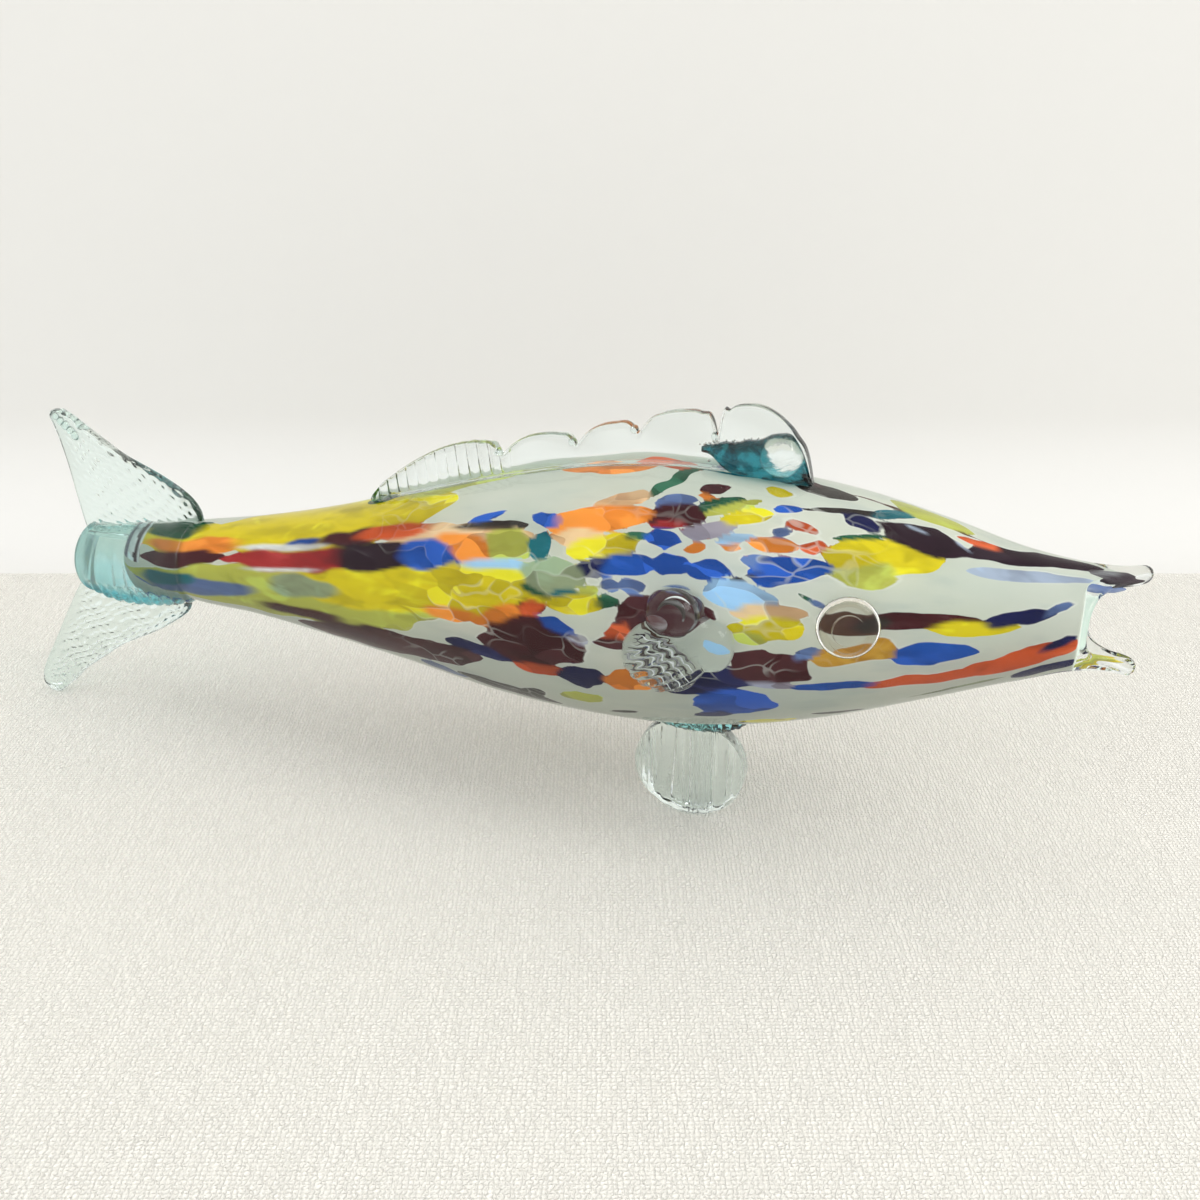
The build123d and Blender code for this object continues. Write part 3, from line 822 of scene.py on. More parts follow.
def mouth_rim(turn):
    """The rim's place along the fish and its angle, for each angle round the tube."""
    quarter = np.abs((turn + math.pi / 2) % math.pi - math.pi / 2) / (math.pi / 2)
    shares = np.linspace(0, 1, len(MOUTH_RIM))
    places, angles = np.array(MOUTH_RIM).T
    x = through(shares, places, quarter) * MM
    bent = np.radians(through(shares, angles, quarter))
    side = np.where(np.cos(turn) >= 0, bent, math.pi - bent)
    return x, np.where(np.sin(turn) >= 0, side, -side)


def casing_rings(sizes, around=264):
    """The clear wall as one closed skin: out along its outside, round the lips and back inside."""
    turn = full_turn(around)
    half_wall = sizes.body_wall / 2
    rim_x, rim_angle = mouth_rim(turn)
    rim_angle = np.unwrap(rim_angle)
    plain_bead = half_wall * 0.62
    swollen = np.clip((rim_x - BEAD_START) / (BEAD_FULL - BEAD_START), 0, 1) ** 1.5
    bead = plain_bead + (sizes.lip_bead - plain_bead) * swollen

    def middle(share):
        """The wall's middle surface between the straight part and the rim."""
        return STRAIGHT_END + (rim_x - STRAIGHT_END) * share, turn + (rim_angle - turn) * share ** 2

    outside = neck_dome(NECK_X, CASING_ROUND, 0.0, turn, 16)
    outside += tube(np.linspace(NECK_X + CASING_ROUND, STRAIGHT_END, 190)[1:], turn, 0.0)
    inside = tube(np.linspace(NECK_X + CASING_HOLLOW, STRAIGHT_END, 110), turn, sizes.body_wall)
    for share in np.linspace(0, 1, 25)[1:]:
        swell = np.clip((share - 0.8) / 0.2, 0, 1) ** 2
        half = half_wall + (bead - half_wall) * (3 * swell ** 2 - 2 * swell ** 3)
        outside.append(body_points(*middle(share), half_wall - half))
        inside.append(body_points(*middle(share), half_wall + half))
    centre_line = (outside[-1] + inside[-1]) / 2
    across = (outside[-1] - inside[-1]) / 2
    ahead = centre_line - body_points(*middle(0.985), half_wall)
    ahead *= bead[:, None] / np.linalg.norm(ahead, axis=-1, keepdims=True)
    bends = [centre_line + across * math.cos(step) + ahead * math.sin(step)
             for step in np.linspace(0, math.pi, 12)[1:-1]]
    return outside + bends + inside[::-1]


def core_rings(sizes, around=220):
    """The opal bubble inside the casing, from its closed neck to just behind the lips."""
    turn = full_turn(around)
    start_x = NECK_X + sizes.casing_wall
    inner = sizes.body_wall - CORE_GAP
    from_top = (turn - math.pi / 2 + math.pi) % (2 * math.pi) - math.pi
    tongue = 8.5 * MM * np.exp(-(from_top / math.radians(20)) ** 2)
    run = CORE_END + tongue - CORE_STRAIGHT_END

    def lip_ring(share, inset, thinner):
        """A ring in the mouth, drawn in by inset, and thinner past the core's plain end."""
        x = CORE_STRAIGHT_END + run * share
        return body_points(x, turn, inset + thinner * np.clip((x - CORE_END) / (8 * MM), 0, 1))

    rings = neck_dome(start_x, CORE_ROUND, sizes.casing_wall, turn, 14)
    rings += tube(np.linspace(start_x + CORE_ROUND, CORE_STRAIGHT_END, 310)[1:], turn, sizes.casing_wall)
    rings += [lip_ring(share, sizes.casing_wall, 0.6 * MM) for share in np.linspace(0, 1, 30)[1:]]
    outer_count = len(rings) * around
    tip = CORE_STRAIGHT_END + run + 0.4 * MM
    rings.append(body_points(tip, turn, (sizes.casing_wall + sizes.body_wall) / 2))
    rings += [lip_ring(share, inner, -0.5 * MM) for share in np.linspace(1, 0, 12)]
    rings += tube(np.linspace(CORE_STRAIGHT_END, NECK_X + CORE_HOLLOW, 60)[1:], turn, inner)
    return rings, outer_count


def fin_rings(columns, around, half_thickness, blunt=3.2):
    """Rings of a flat fin. A column is (share along the fin, its foot, its crest) in the fin's
    plane, in millimetres, and half_thickness(u, v, height, x, z) is half the glass across."""
    turn = full_turn(around)
    v = (1 - np.cos(turn)) / 2
    side = np.sign(np.sin(turn)) * np.minimum(1.0, np.abs(np.sin(turn)) * blunt) ** 0.6
    rings = []
    for u, foot, crest in columns:
        rise = np.array(crest) - foot
        x, z = foot[0] + rise[0] * v, foot[1] + rise[1] * v
        rings.append(np.stack([x, side * half_thickness(u, v, np.hypot(*rise), x, z), z], -1) * MM)
    return rings


def rounded_steps(count, start=0.0, end=1.0):
    """Shares and places from start to end, closer together at both ends, without the ends."""
    return [(share, start + (end - start) * (1 - math.cos(share * math.pi)) / 2)
            for share in np.linspace(0, 1, count)[1:-1]]


def dorsal_mesh(sizes):
    """The trail of glass pinched along the back, with a melted rim and the pincers' ribs in its rear."""
    columns = []
    low, high = DORSAL_SCALLOPS[0][0][0], DORSAL_SCALLOPS[-1][-1][0]
    for scallop in DORSAL_SCALLOPS:
        xs, zs = np.array(scallop).T
        for _, x in rounded_steps(70, xs[0], xs[-1]):
            centre, tall, _ = body_ring(x * MM)
            foot = (centre + tall) / MM - 1.5
            columns.append(((x - low) / (high - low), (x, foot), (x, max(through(xs, zs, x), foot + 0.3))))

    def half(u, v, height, x, z):
        rim = np.exp(-(((1 - v) * height) / 0.9) ** 2) * (sizes.rim_bead / MM - 0.6)
        foot = np.exp(-((v * height) / 2.4) ** 2) * 0.8
        body = 1.25 * np.minimum(1.0, height / 4)
        ribbed = np.clip((0.36 - u) / 0.05, 0, 1) * np.clip((v - 0.12) / 0.2, 0, 1)
        ribs = 0.42 * np.cos(2 * math.pi * (x + 0.12 * z) / (sizes.rib_pitch / MM)) * ribbed
        waves = 0.16 * np.sin(x / 5.3 + z / 3.9)
        return np.maximum(body + rim + foot + ribs + waves, 0.35)

    return skin(fin_rings(columns, 96, half))


def lobe_mesh(sections, lean, deep):
    """A tail lobe, waffled by pincers pressed on in two directions."""
    levels, rears, fronts = np.array(sorted(sections)).T
    columns = [(share, (through(levels, rears, level), level), (through(levels, fronts, level), level))
               for share, level in rounded_steps(190, levels[0], levels[-1])]

    def half(u, v, height, x, z):
        edge = np.minimum(v, 1 - v) * height
        near_root = np.clip(1 - abs(z - 54) / 44, 0, 1)
        stray = 0.55 * np.sin(x / 2.9 + z / 4.1) + 0.45 * np.sin(z / 1.7 - x / 3.3)
        first = np.cos(2 * math.pi * (x * math.cos(lean) + z * math.sin(lean) + stray) / 2.3)
        second = np.cos(2 * math.pi * (-x * math.sin(lean) * 0.9 + z * math.cos(lean) - stray) / 3.4)
        waffle = deep * (0.09 * first + 0.13 * first * second) * np.clip((edge - 1.2) / 2.5, 0, 1)
        body = 1.5 + 0.9 * near_root ** 2 + 0.25 * np.exp(-(edge / 0.9) ** 2)
        return np.maximum(body + waffle, 0.4) * np.minimum(1, height / 3)

    return skin(fin_rings(columns, 168, half, 1.35))


def disc_mesh():
    """The ribbed disc under the belly, with a wavy edge, ground flat where it stands."""
    columns = []
    for share, x in rounded_steps(230, DISC_X - DISC_RADIUS, DISC_X + DISC_RADIUS):
        across = (x - DISC_X) / DISC_RADIUS
        reach = DISC_RADIUS * math.sqrt(1 - across ** 2)
        low = max(DISC_Z - reach * (1 + 0.010 * math.sin(23 * across)), 0.15)
        columns.append((share, (x, low), (x, DISC_Z + reach)))

    def half(u, v, height, x, z):
        inner = np.clip((DISC_RADIUS - np.hypot(x - DISC_X, z - DISC_Z)) / 2.6, 0, 1)
        turn = 2 * math.pi * (x + 0.03 * z) / (3.7 + 0.3 * math.sin(x[0] * 0.37))
        ribs = 0.38 * (np.cos(turn) + 0.4 * np.cos(2 * turn))
        return 2.0 + 0.5 * (1 - inner) + ribs * inner

    return skin(fin_rings(columns, 120, half))


def gob_mesh():
    """The thick teal gob in the foot of the front scallop, up to its own top edge."""
    rings = []
    turn = full_turn(72)
    for share in np.linspace(0.004, 0.996, 90):
        x = GOB_TOP[0][0] + (GOB_TOP[-1][0] - GOB_TOP[0][0]) * share
        centre, tall, _ = body_ring(x * MM)
        top = through(*np.array(GOB_TOP).T, x)
        low = max((centre + tall) / MM - 1.6, top - (0.8 + 26.0 * share))
        ends = min(1.0, math.sqrt(max(0.0, 1 - (2 * share - 1) ** 2)) * 1.3)
        y = (1.4 + 3.9 * math.sin(share ** 0.8 * math.pi * 0.62)) * ends * np.cos(turn)
        z = (low + top) / 2 + ((top - low) / 2 + 0.22 * math.cos(x / 0.9)) * np.sin(turn)
        rings.append(np.stack(np.broadcast_arrays(x, y, z), -1) * MM)
    return skin(rings)


def knuckle_mesh():
    """The aqua gather that wraps the neck, ribbed below by the pincers."""
    places, *sizes = np.array(KNUCKLE_RINGS).T
    turn = full_turn(200)
    rings = []
    for share in np.linspace(0, 1, 190):
        x = places[0] + (places[-1] - places[0]) * (1 - math.cos(share * math.pi)) / 2
        centre, tall, wide = (through(places, size, x) for size in sizes)
        under = np.clip((-np.sin(turn) - 0.25) / 0.35, 0, 1) * np.clip((x + 134) / 6, 0, 1)
        ribs = 0.60 * np.cos(2 * math.pi * (x + 4.0 * np.cos(turn)) / 3.6) * under
        y, z = (wide / 2 + ribs) * np.cos(turn), centre + (tall / 2 + ribs) * np.sin(turn)
        rings.append(np.stack(np.broadcast_arrays(x, y, z), -1) * MM)
    return skin(rings)


def melted(meshes, voxel, rounds):
    """Meshes run together as hot glass does: remeshed as one and smoothed."""
    temporary = show("hot", join_meshes(meshes))
    remesh = temporary.modifiers.new("Melt", "REMESH")
    remesh.mode = "VOXEL"
    remesh.voxel_size = voxel
    smooth = temporary.modifiers.new("Smooth", "SMOOTH")
    smooth.factor = 0.6
    smooth.iterations = rounds
    mesh = applied(temporary)
    mesh.polygons.foreach_set("use_smooth", [True] * len(mesh.polygons))
    return mesh


def seat(x, above, side):
    """A place on the body's flank, and the directions ahead, up and out of the glass."""
    _, tall, _ = body_ring(x)
    angle = math.asin(above / tall)
    if side < 0:
        angle = math.pi - angle

    def at(x, angle):
        return Vector(body_points(x, angle, 0.0))

    ahead = (at(x + MM, angle) - at(x - MM, angle)).normalized()
    up = at(x, angle + 0.02) - at(x, angle - 0.02)
    up = (up if up.z > 0 else -up).normalized()
    out = ahead.cross(up).normalized()
    up = (up - ahead * up.dot(ahead)).normalized()
    return at(x, angle), ahead, up, out if out.y * side > 0 else -out


def pectoral_mesh(side):
    """A gob pinched to a ribbed lobe, with a knob above it and a small lobe in front."""
    x = MOUTH_X - 107 * MM
    lobes = []
    for ahead_by, above, *halves in PECTORAL_LOBES:
        origin, ahead, up, out = seat(x + ahead_by * MM, above * MM, side)
        lobes.append(skin(gob_rings(origin + out * (1.1 * MM), halves, (ahead, up, out), 40, 56)))
    mesh = melted(lobes, 0.42 * MM, 6)
    origin, ahead, up, out = seat(x, 0.0, side)
    lean = math.radians(-28)
    down = up * math.cos(lean) + ahead * math.sin(lean)
    points, normals = point_values(mesh.vertices, "co"), point_values(mesh.vertex_normals, "vector")
    place = (points - np.array(origin)) / MM
    along, above = place @ np.array(ahead), place @ np.array(up)
    reach = np.hypot(along + 1.0, above + 2.6) / 11.5
    ribbed = np.clip(1 - reach ** 4, 0, 1) * np.clip((6.0 - above) / 3.0, 0, 1)
    wave = np.cos(2 * math.pi * (place @ np.array(down) + wobble(points, 1.6 * MM, 4) * 0.45) / 2.9)
    points += normals * (0.45 * MM * wave * ribbed)[:, None]
    mesh.vertices.foreach_set("co", points.ravel())
    mesh.update()
    return mesh


def air_line(centre, ahead, up, radius, thickness, start, end):
    """A curved thread in the glass, round an arc; its radius and thickness are in millimetres."""
    rings = []
    out = ahead.cross(up).normalized()
    for share in np.linspace(0, 1, 40):
        angle = start + (end - start) * share
        outward = (ahead * math.cos(angle) + up * math.sin(angle)).normalized()
        spot = centre + (ahead * math.cos(angle) + up * math.sin(angle)) * (radius * MM)
        thin = thickness * MM * (0.25 + math.sin(share * math.pi))
        rings.append([spot + (outward * math.cos(turn) + out * math.sin(turn)) * thin for turn in full_turn(12)])
    return skin(rings)


def row_tree():
    """Geometry nodes that strew balls along a line; each call's own values go in the modifier."""
    tree = bpy.data.node_groups.new("ball_row", "GeometryNodeTree")
    tree.interface.new_socket("Geometry", in_out="OUTPUT", socket_type="NodeSocketGeometry")
    for name, kind in (
        ("Start", "Vector"), ("End", "Vector"), ("Count", "Int"), ("Radius", "Float"), ("Stray", "Vector"),
        ("Shrink", "Float"), ("Seed", "Int"), ("Material", "Material"),
    ):
        tree.interface.new_socket(name, in_out="INPUT", socket_type="NodeSocket" + kind)
    row = Nodes(tree)
    given = row.node("NodeGroupInput")
    line = row.node("GeometryNodeMeshLine", {"mode": "END_POINTS"}, {
        "Count": given.other("Count"), "Start Location": given.other("Start"), "Offset": given.other("End"),
    })
    low = row.node("ShaderNodeVectorMath", {"operation": "SCALE"}, {0: given.other("Stray"), "Scale": -1.0})
    stray = row.node("FunctionNodeRandomValue", {"data_type": "FLOAT_VECTOR"}, {
        "Min": low, "Max": given.other("Stray"), "Seed": given.other("Seed"),
    })
    placed = row.node("GeometryNodeSetPosition", None, {"Geometry": line, "Offset": stray})
    ball = row.node("GeometryNodeMeshIcoSphere", None, {"Radius": given.other("Radius"), "Subdivisions": 4})
    size = row.node("FunctionNodeRandomValue", {"data_type": "FLOAT"}, {
        2: given.other("Shrink"), 3: 1.0, "Seed": given.other("Seed"),
    }, out=1)
    balls = row.node("GeometryNodeInstanceOnPoints", None, {"Points": placed, "Instance": ball, "Scale": size})
    real = row.node("GeometryNodeRealizeInstances", None, {"Geometry": balls})
    smooth = row.node("GeometryNodeSetShadeSmooth", None, {"Geometry": real})
    done = row.node("GeometryNodeSetMaterial", None, {"Geometry": smooth, "Material": given.other("Material")})
    row.node("NodeGroupOutput", None, {0: done})
    return tree


def ball_row(tree, material, count, shrink, seed, radius, **vectors):
    """A finished mesh of balls along a line, made by the geometry nodes; lengths are in millimetres."""
    values = {"material": material, "count": count, "shrink": shrink, "seed": seed, "radius": radius * MM}
    values.update((name, tuple(length * MM for length in vector)) for name, vector in vectors.items())
    temporary = show("row", bpy.data.meshes.new("row"))
    modifier = temporary.modifiers.new("Row", "NODES")
    modifier.node_group = tree
    for socket in tree.interface.items_tree:
        if socket.in_out == "INPUT":
            modifier[socket.identifier] = values[socket.name.lower()]
    temporary.update_tag()
    return applied(temporary)


class FISH_OT_body(bpy.types.Operator):
    """Blow the cased body: the clear casing with its lips, and the opal core with its chips"""

    bl_idname = "fish.body"
    bl_label = "Body"

    def execute(self, context):
        sizes, colours = context.scene.fish_sizes, context.scene.fish_colours
        shade = (0.97, 0.985, 0.98)
        clear = clear_look("clear_casing_glass", colours.clear, shade, 0.012, draw_lines, 0.12 * MM, 0.35)
        piece("casing", skin(casing_rings(sizes)), clear, "clear_glass", "clear_casing")
        rings, outer_count = core_rings(sizes)
        core = skin(rings)
        tree = BVHTree.FromPolygons([v.co for v in core.vertices], [f.vertices for f in core.polygons])
        paint_chips(core, outer_count, tree)
        piece("core", core, opal_look(colours.opal), "opal_glass", "opal_core")
        middle = (sizes.casing_wall + sizes.body_wall) / 2
        for name, colour, turn, start, end, thick, wide in LIP_STREAKS:
            strand = streak_mesh(math.radians(turn), start * MM, end * MM, middle, thick * MM, wide * MM)
            piece(name, strand, drawn_look(name, colour), "opal_glass")
        return {"FINISHED"}


class FISH_OT_eyes(bpy.types.Operator):
    """Lay the clear eyes on the cheeks, each with a curl of trapped air"""

    bl_idname = "fish.eyes"
    bl_label = "Eyes"

    def execute(self, context):
        glass = clear_look("eye_glass", (0.90, 0.86, 0.80), (0.96, 0.94, 0.92), 0.01, hand_waves, 0.1 * MM, 0.5)
        air = air_look()
        for side, name in ((-1, "eye_right"), (1, "eye_left")):
            origin, ahead, up, out = seat(MOUTH_X - 66 * MM, 5 * MM, side)
            rings = gob_rings(origin + out * (0.7 * MM), (7.5, 7.5, 3.3), (ahead, up, out), 60, 80)
            piece(name, skin(rings), glass, "eye_glass", name)
            curl = origin + out * (1.5 * MM) - up * (0.4 * MM)
            lines = [
                air_line(curl, ahead, up, 3.6, 0.16, 0.6, 4.4),
                air_line(curl - up * MM, ahead, up, 4.4, 0.12, 3.5, 5.9),
            ]
            piece(name + "_air", join_meshes(lines), air, "eye_glass")
        return {"FINISHED"}


class FISH_OT_pectorals(bpy.types.Operator):
    """Pinch the pectoral fins on both sides"""

    bl_idname = "fish.pectorals"
    bl_label = "Pectoral Fins"

    def execute(self, context):
        tint, shade = (0.95, 0.985, 0.975), (0.95, 0.97, 0.96)
        glass = clear_look("pectoral_glass", tint, shade, 0.012, hand_waves, 0.15 * MM, 0.6)
        for side, name in ((-1, "pectoral_fin_right"), (1, "pectoral_fin_left")):
            piece(name, pectoral_mesh(side), glass, "clear_glass", name)
            knob, ahead, up, out = seat(MOUTH_X - 106 * MM, 8.6 * MM, side)
            curls = [
                air_line(knob + out * (3.0 * MM), ahead, up, 5.2, 0.62, -1.0, 2.1),
                air_line(knob + out * (4.8 * MM), ahead, up, 2.7, 0.55, -0.4, 2.9),
            ]
            # A pale strand over the knob: a painted highlight.
            shine = [air_line(knob + out * (4.6 * MM) + ahead * (1.2 * MM), ahead, up, 3.9, 0.22, 0.7, 2.3)]
            lobe, along, above, away = seat(MOUTH_X - 108 * MM, -2.6 * MM, side)
            bend = lobe + away * (3.0 * MM) - along * (9.2 * MM) - above * (13.1 * MM)
            # Along the lobe's ribs, dark strands that join the curls alternate with pale ones that join the shine:
            # painted shade and painted highlights of the ribs.
            for index in range(-4, 5):
                aside = index * RIB_ARC_PITCH
                radius = RIB_ARC_RADIUS + aside
                reach = 8.6 * math.sqrt(1 - (aside / 8.0) ** 2) / radius
                strands, thick = (curls, 0.34) if index % 2 == 0 else (shine, 0.18)
                strands.append(air_line(bend, along, above, radius, thick, 0.96 - reach, 0.96 + reach))
            smear = knob + away * (3.4 * MM) - along * (3.2 * MM) - above * MM
            smear = skin(gob_rings(smear, (2.4, 1.5, 0.6), (along, above, away), 20, 24))
            for ending, mesh, colour in (
                ("_shine", join_meshes(shine), "pearl_and_highlight"), ("_curls_and_rib_shade", join_meshes(curls), "soot"),
                ("_smear", smear, "burgundy"),
            ):
                piece(name + ending, mesh, drawn_look(name + ending, colour), "clear_glass")
        return {"FINISHED"}


class FISH_OT_dorsal(bpy.types.Operator):
    """Draw the scalloped dorsal fin along the back, with its thick teal end"""

    bl_idname = "fish.dorsal"
    bl_label = "Dorsal Fin"

    def execute(self, context):
        sizes, colours = context.scene.fish_sizes, context.scene.fish_colours
        clear = clear_look("fin_glass", (0.93, 0.985, 0.98), (0.93, 0.97, 0.965), 0.012, hand_waves, 0.08 * MM)
        teal, air, tree = teal_look(colours.teal), air_look(), row_tree()
        piece("dorsal_fin_pinched", dorsal_mesh(sizes), clear, "fin_glass", "dorsal_fin")
        curls = [skin(gob_rings((x * MM, 0, z * MM), (0.95, 1.5, 1.1), count=20, around=24)) for x, z in DORSAL_CURLS]
        piece("dorsal_curls_and_rib_shade", join_meshes(curls), clear, "fin_glass")
        piece("dorsal_gob_teal", gob_mesh(), teal, "teal_glass", "dorsal_gob")
        slit = ball_row(tree, air, 9, 0.5, 3, 0.42, start=(59.4, 0, 103), end=(60.6, 0, 110), stray=(1.3, 0.5, 0.6))
        piece("fin_bubbles", slit, air, "fin_glass")
        seeds = ball_row(tree, air, sizes.bubbles, 0.5, 8, 0.34, start=(56.5, -0.8, 108.3), end=(78, -0.8, 112.8),
                         stray=(0.4, 0.5, 0.35))
        piece("gob_bubbles", seeds, air, "fin_glass")
        leaning = ((0.96, 0, 0.26), (0, 1, 0), (-0.26, 0, 0.96))
        rear = skin(gob_rings((-32.5 * MM, 0, 81.0 * MM), (5.5, 2.6, 1.9), leaning, 30, 40))
        piece("dorsal_tail_gob", rear, teal, "teal_glass", "dorsal_fin")
        return {"FINISHED"}


class FISH_OT_belly(bpy.types.Operator):
    """Press the ribbed disc that the fish stands on, with the aqua gob that holds it"""

    bl_idname = "fish.belly"
    bl_label = "Belly Fin"

    def execute(self, context):
        clear = clear_look("disc_glass", (0.88, 0.965, 0.945), (0.93, 0.97, 0.96), 0.012, hand_waves, 0.06 * MM)
        piece("belly_disc", disc_mesh(), clear, "fin_glass", "belly_fin")
        centre, tall, _ = body_ring(DISC_X * MM)
        rings = np.array(gob_rings((DISC_X * MM, 0, centre - tall), (15.4, 6.2, 4.8), count=80, around=90))
        rings[..., 2] -= 0.35 * MM * np.cos(rings[..., 0] / (0.42 * MM)) * np.cos(rings[..., 1] / (0.55 * MM))
        aqua = clear_look("root_glass", (0.35, 0.80, 0.82), (0.6, 0.85, 0.86), 0.02, hand_waves, 0.3 * MM)
        piece("belly_root_gob", skin(rings), aqua, "root_glass", "belly_root")
        return {"FINISHED"}


class FISH_OT_tail(bpy.types.Operator):
    """Gather the aqua knuckle on the neck and draw the two waffled lobes"""

    bl_idname = "fish.tail"
    bl_label = "Tail"

    def execute(self, context):
        pale = clear_look("lobe_glass", (0.87, 0.965, 0.945), (0.92, 0.97, 0.96), 0.02, pincer_marks, 0.08 * MM)
        aqua = knuckle_look(context.scene.fish_colours.aqua)
        piece("knuckle", knuckle_mesh(), aqua, "aqua_glass", "tail_knuckle")
        upper = lobe_mesh(UPPER_LOBE, math.radians(38), 0.5)
        piece("tail_lobe_upper_leaf", upper, pale, "aqua_glass", "tail_lobe_upper")
        beads = ball_row(row_tree(), pale, 5, 0.8, 2, 1.55, start=(-140.2, 0, 95.8), end=(-134.4, 0, 90.4),
                         stray=(0.1, 0.1, 0.1))
        piece("tail_tip_beads", beads, pale, "aqua_glass")
        lower = lobe_mesh(LOWER_LOBE, math.radians(-62), 1.3)
        piece("tail_lobe_lower_leaf", lower, pale, "aqua_glass", "tail_lobe_lower")
        return {"FINISHED"}


def cloth_look(colour):
    """White cloth with an uneven plain weave."""
    look = Look("woven_cloth")
    heading = math.atan2(CAMERA_AHEAD.x, CAMERA_AHEAD.y)
    place = look.node("ShaderNodeMapping", None, {"Vector": look.place(), "Rotation": (0.0, 0.0, heading)})
    threads, crossing = (
        look.node("ShaderNodeTexWave", {"bands_direction": bands}, {
            "Vector": place, "Scale": 300.0, "Distortion": stray, "Detail": 2.0, "Detail Scale": 3.0,
        }) for bands, stray in (("X", 6.0), ("Y", 5.0)))
    slubs = look.noise((800.0, 110.0, 1.0), 3.0, place=place)
    weave = threads * 0.5 + crossing * 0.3 + slubs * 0.7
    tone = look.mix(look.ramp(weave, 0.45, 1.05), [c * 0.85 for c in colour], colour)
    patches = look.ramp(look.noise((9.0, 9.0, 1.0)), 0.3, 0.7) * 0.3
    return look.surface(look.principled(look.mix(patches, tone, [c * 0.965 for c in colour]), 0.9, {
        "Specular IOR Level": 0.1, "Normal": look.bump(weave, 0.55 * MM),
    }))


def wall_look(colour):
    """A plain painted wall, which is open from behind so that it hides the fish from no side."""
    look = Look("pale_wall")
    grain = look.noise((160.0, 160.0, 160.0), 3.0)
    paint = look.principled(colour, 0.95, {"Specular IOR Level": 0.05, "Normal": look.bump(grain, 0.12 * MM, 0.4)})
    behind = look.node("ShaderNodeNewGeometry", out="Backfacing")
    return look.surface(look.blend(behind, paint, look.node("ShaderNodeBsdfTransparent")))


def stage_mesh(name, profile, material):
    """A wide sheet drawn sideways from a profile of (distance from the camera, height) points."""
    ahead = Vector((CAMERA_AHEAD.x, CAMERA_AHEAD.y, 0)).normalized()
    across = Vector((ahead.y, -ahead.x, 0)) * SHEET_REACH
    foot = Vector((CAMERA_PLACE.x, CAMERA_PLACE.y, 0))
    points = [tuple(foot + edge + ahead * away + Vector((0, 0, height)))
              for edge in (-across, across) for away, height in profile]
    count = len(profile)
    mesh = new_mesh(points, [(i, count + i, count + i + 1, i + 1) for i in range(count - 1)])
    mesh.materials.append(material)
    show(name, mesh)


def aim(shown, place, ahead):
    """Puts a lamp or the camera at a place, facing ahead."""
    shown.location = place
    shown.rotation_euler = ahead.to_track_quat("-Z", "Y").to_euler()


def lamp(name, place, target, size, watts, colour, glossy=True):
    """A soft lamp aimed at a point."""
    light = bpy.data.lights.new(name, "AREA")
    light.shape = "RECTANGLE"
    light.size, light.size_y = size
    light.energy = watts
    light.color = colour
    shown = show(name, light)
    shown.visible_glossy = glossy
    aim(shown, place, Vector(target) - Vector(place))


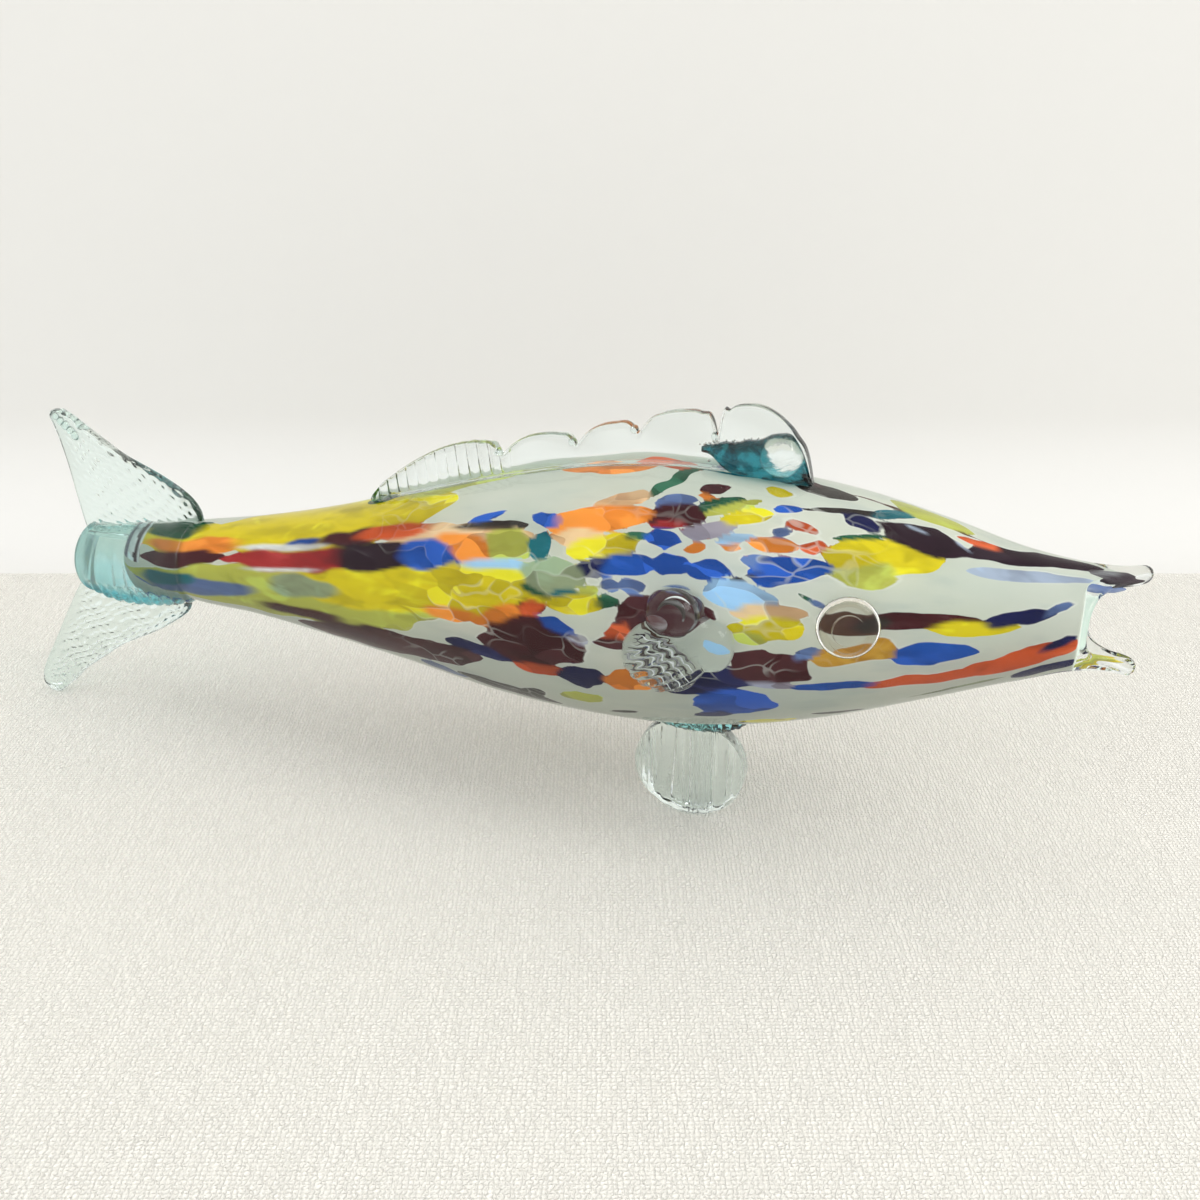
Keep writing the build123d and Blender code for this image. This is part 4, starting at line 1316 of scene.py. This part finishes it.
class FISH_OT_stage(bpy.types.Operator):
    """Lay the cloth, put up the wall and the lights, and set the camera"""

    bl_idname = "fish.stage"
    bl_label = "Stage"

    def execute(self, context):
        stage = context.scene.fish_stage
        cloth, away, watts = cloth_look(stage.cloth), stage.wall_away, stage.window
        stage_mesh("cloth", [(-2.0, 0.0), (away, 0.0)], cloth)
        stage_mesh("cloth_behind", [(away, -0.5 * MM), (3.0, -0.5 * MM)], cloth)
        cove = [(away + WALL_BEND * math.sin(turn), WALL_BEND * (1 - math.cos(turn)))
                for turn in np.linspace(0, math.pi / 2, 24)]
        stage_mesh("wall", cove + [(away + WALL_BEND, 2.5)], wall_look(stage.wall))
        lamp("window", (1.30, -0.22, 1.20), (0.0, 0.0, 0.05), (0.75, 0.9), watts * 9.5, (1.0, 0.985, 0.96))
        lamp("sky_fill", (-0.1, -1.0, 0.95), (0.0, 0.1, 0.12), (1.4, 0.9), watts * 5, (0.97, 0.985, 1.0), False)
        lamp("ceiling", (-0.35, 0.25, 1.2), (-0.2, 0.22, 0.0), (1.2, 1.0), watts * 3, (1.0, 0.995, 0.985), False)
        context.scene.world = world = bpy.data.worlds.new("room")
        world.use_nodes = True
        sky = world.node_tree.nodes["Background"].inputs
        sky["Color"].default_value = (0.95, 0.95, 0.94, 1.0)
        sky["Strength"].default_value = 0.92
        context.scene.view_settings.view_transform = "Standard"
        camera = bpy.data.cameras.new("photo_camera")
        camera.lens, camera.sensor_width = CAMERA_LENS, CAMERA_SENSOR
        camera.clip_start = 0.01
        context.scene.camera = show("photo_camera", camera)
        aim(context.scene.camera, CAMERA_PLACE, CAMERA_AHEAD)
        return {"FINISHED"}


class FISH_PT_panel(bpy.types.Panel):
    """Lists the fish's groups of pieces"""

    bl_idname = "FISH_PT_panel"
    bl_label = "Glass Fish"
    bl_space_type = "VIEW_3D"
    bl_region_type = "UI"
    bl_category = "Glass Fish"

    def draw(self, context):
        for operator in OPERATORS:
            self.layout.operator(operator.bl_idname)
        for group in (context.scene.fish_sizes, context.scene.fish_colours, context.scene.fish_stage):
            for name in group.__annotations__:
                self.layout.prop(group, name)


OPERATORS = (
    FISH_OT_stage,
    FISH_OT_body,
    FISH_OT_eyes,
    FISH_OT_pectorals,
    FISH_OT_dorsal,
    FISH_OT_belly,
    FISH_OT_tail,
)
CLASSES = (FishSizes, FishColours, StageSettings) + OPERATORS + (FISH_PT_panel,)


def register():
    for item in CLASSES:
        bpy.utils.register_class(item)
    bpy.types.Scene.fish_sizes = PointerProperty(type=FishSizes)
    bpy.types.Scene.fish_colours = PointerProperty(type=FishColours)
    bpy.types.Scene.fish_stage = PointerProperty(type=StageSettings)


def unregister():
    del bpy.types.Scene.fish_stage
    del bpy.types.Scene.fish_colours
    del bpy.types.Scene.fish_sizes
    for item in reversed(CLASSES):
        bpy.utils.unregister_class(item)


def main():
    """Builds the whole scene."""
    register()
    bpy.ops.fish.stage()
    bpy.ops.fish.body()
    bpy.ops.fish.eyes()
    bpy.ops.fish.pectorals()
    bpy.ops.fish.dorsal()
    bpy.ops.fish.belly()
    bpy.ops.fish.tail()


if __name__ == "__main__":
    main()
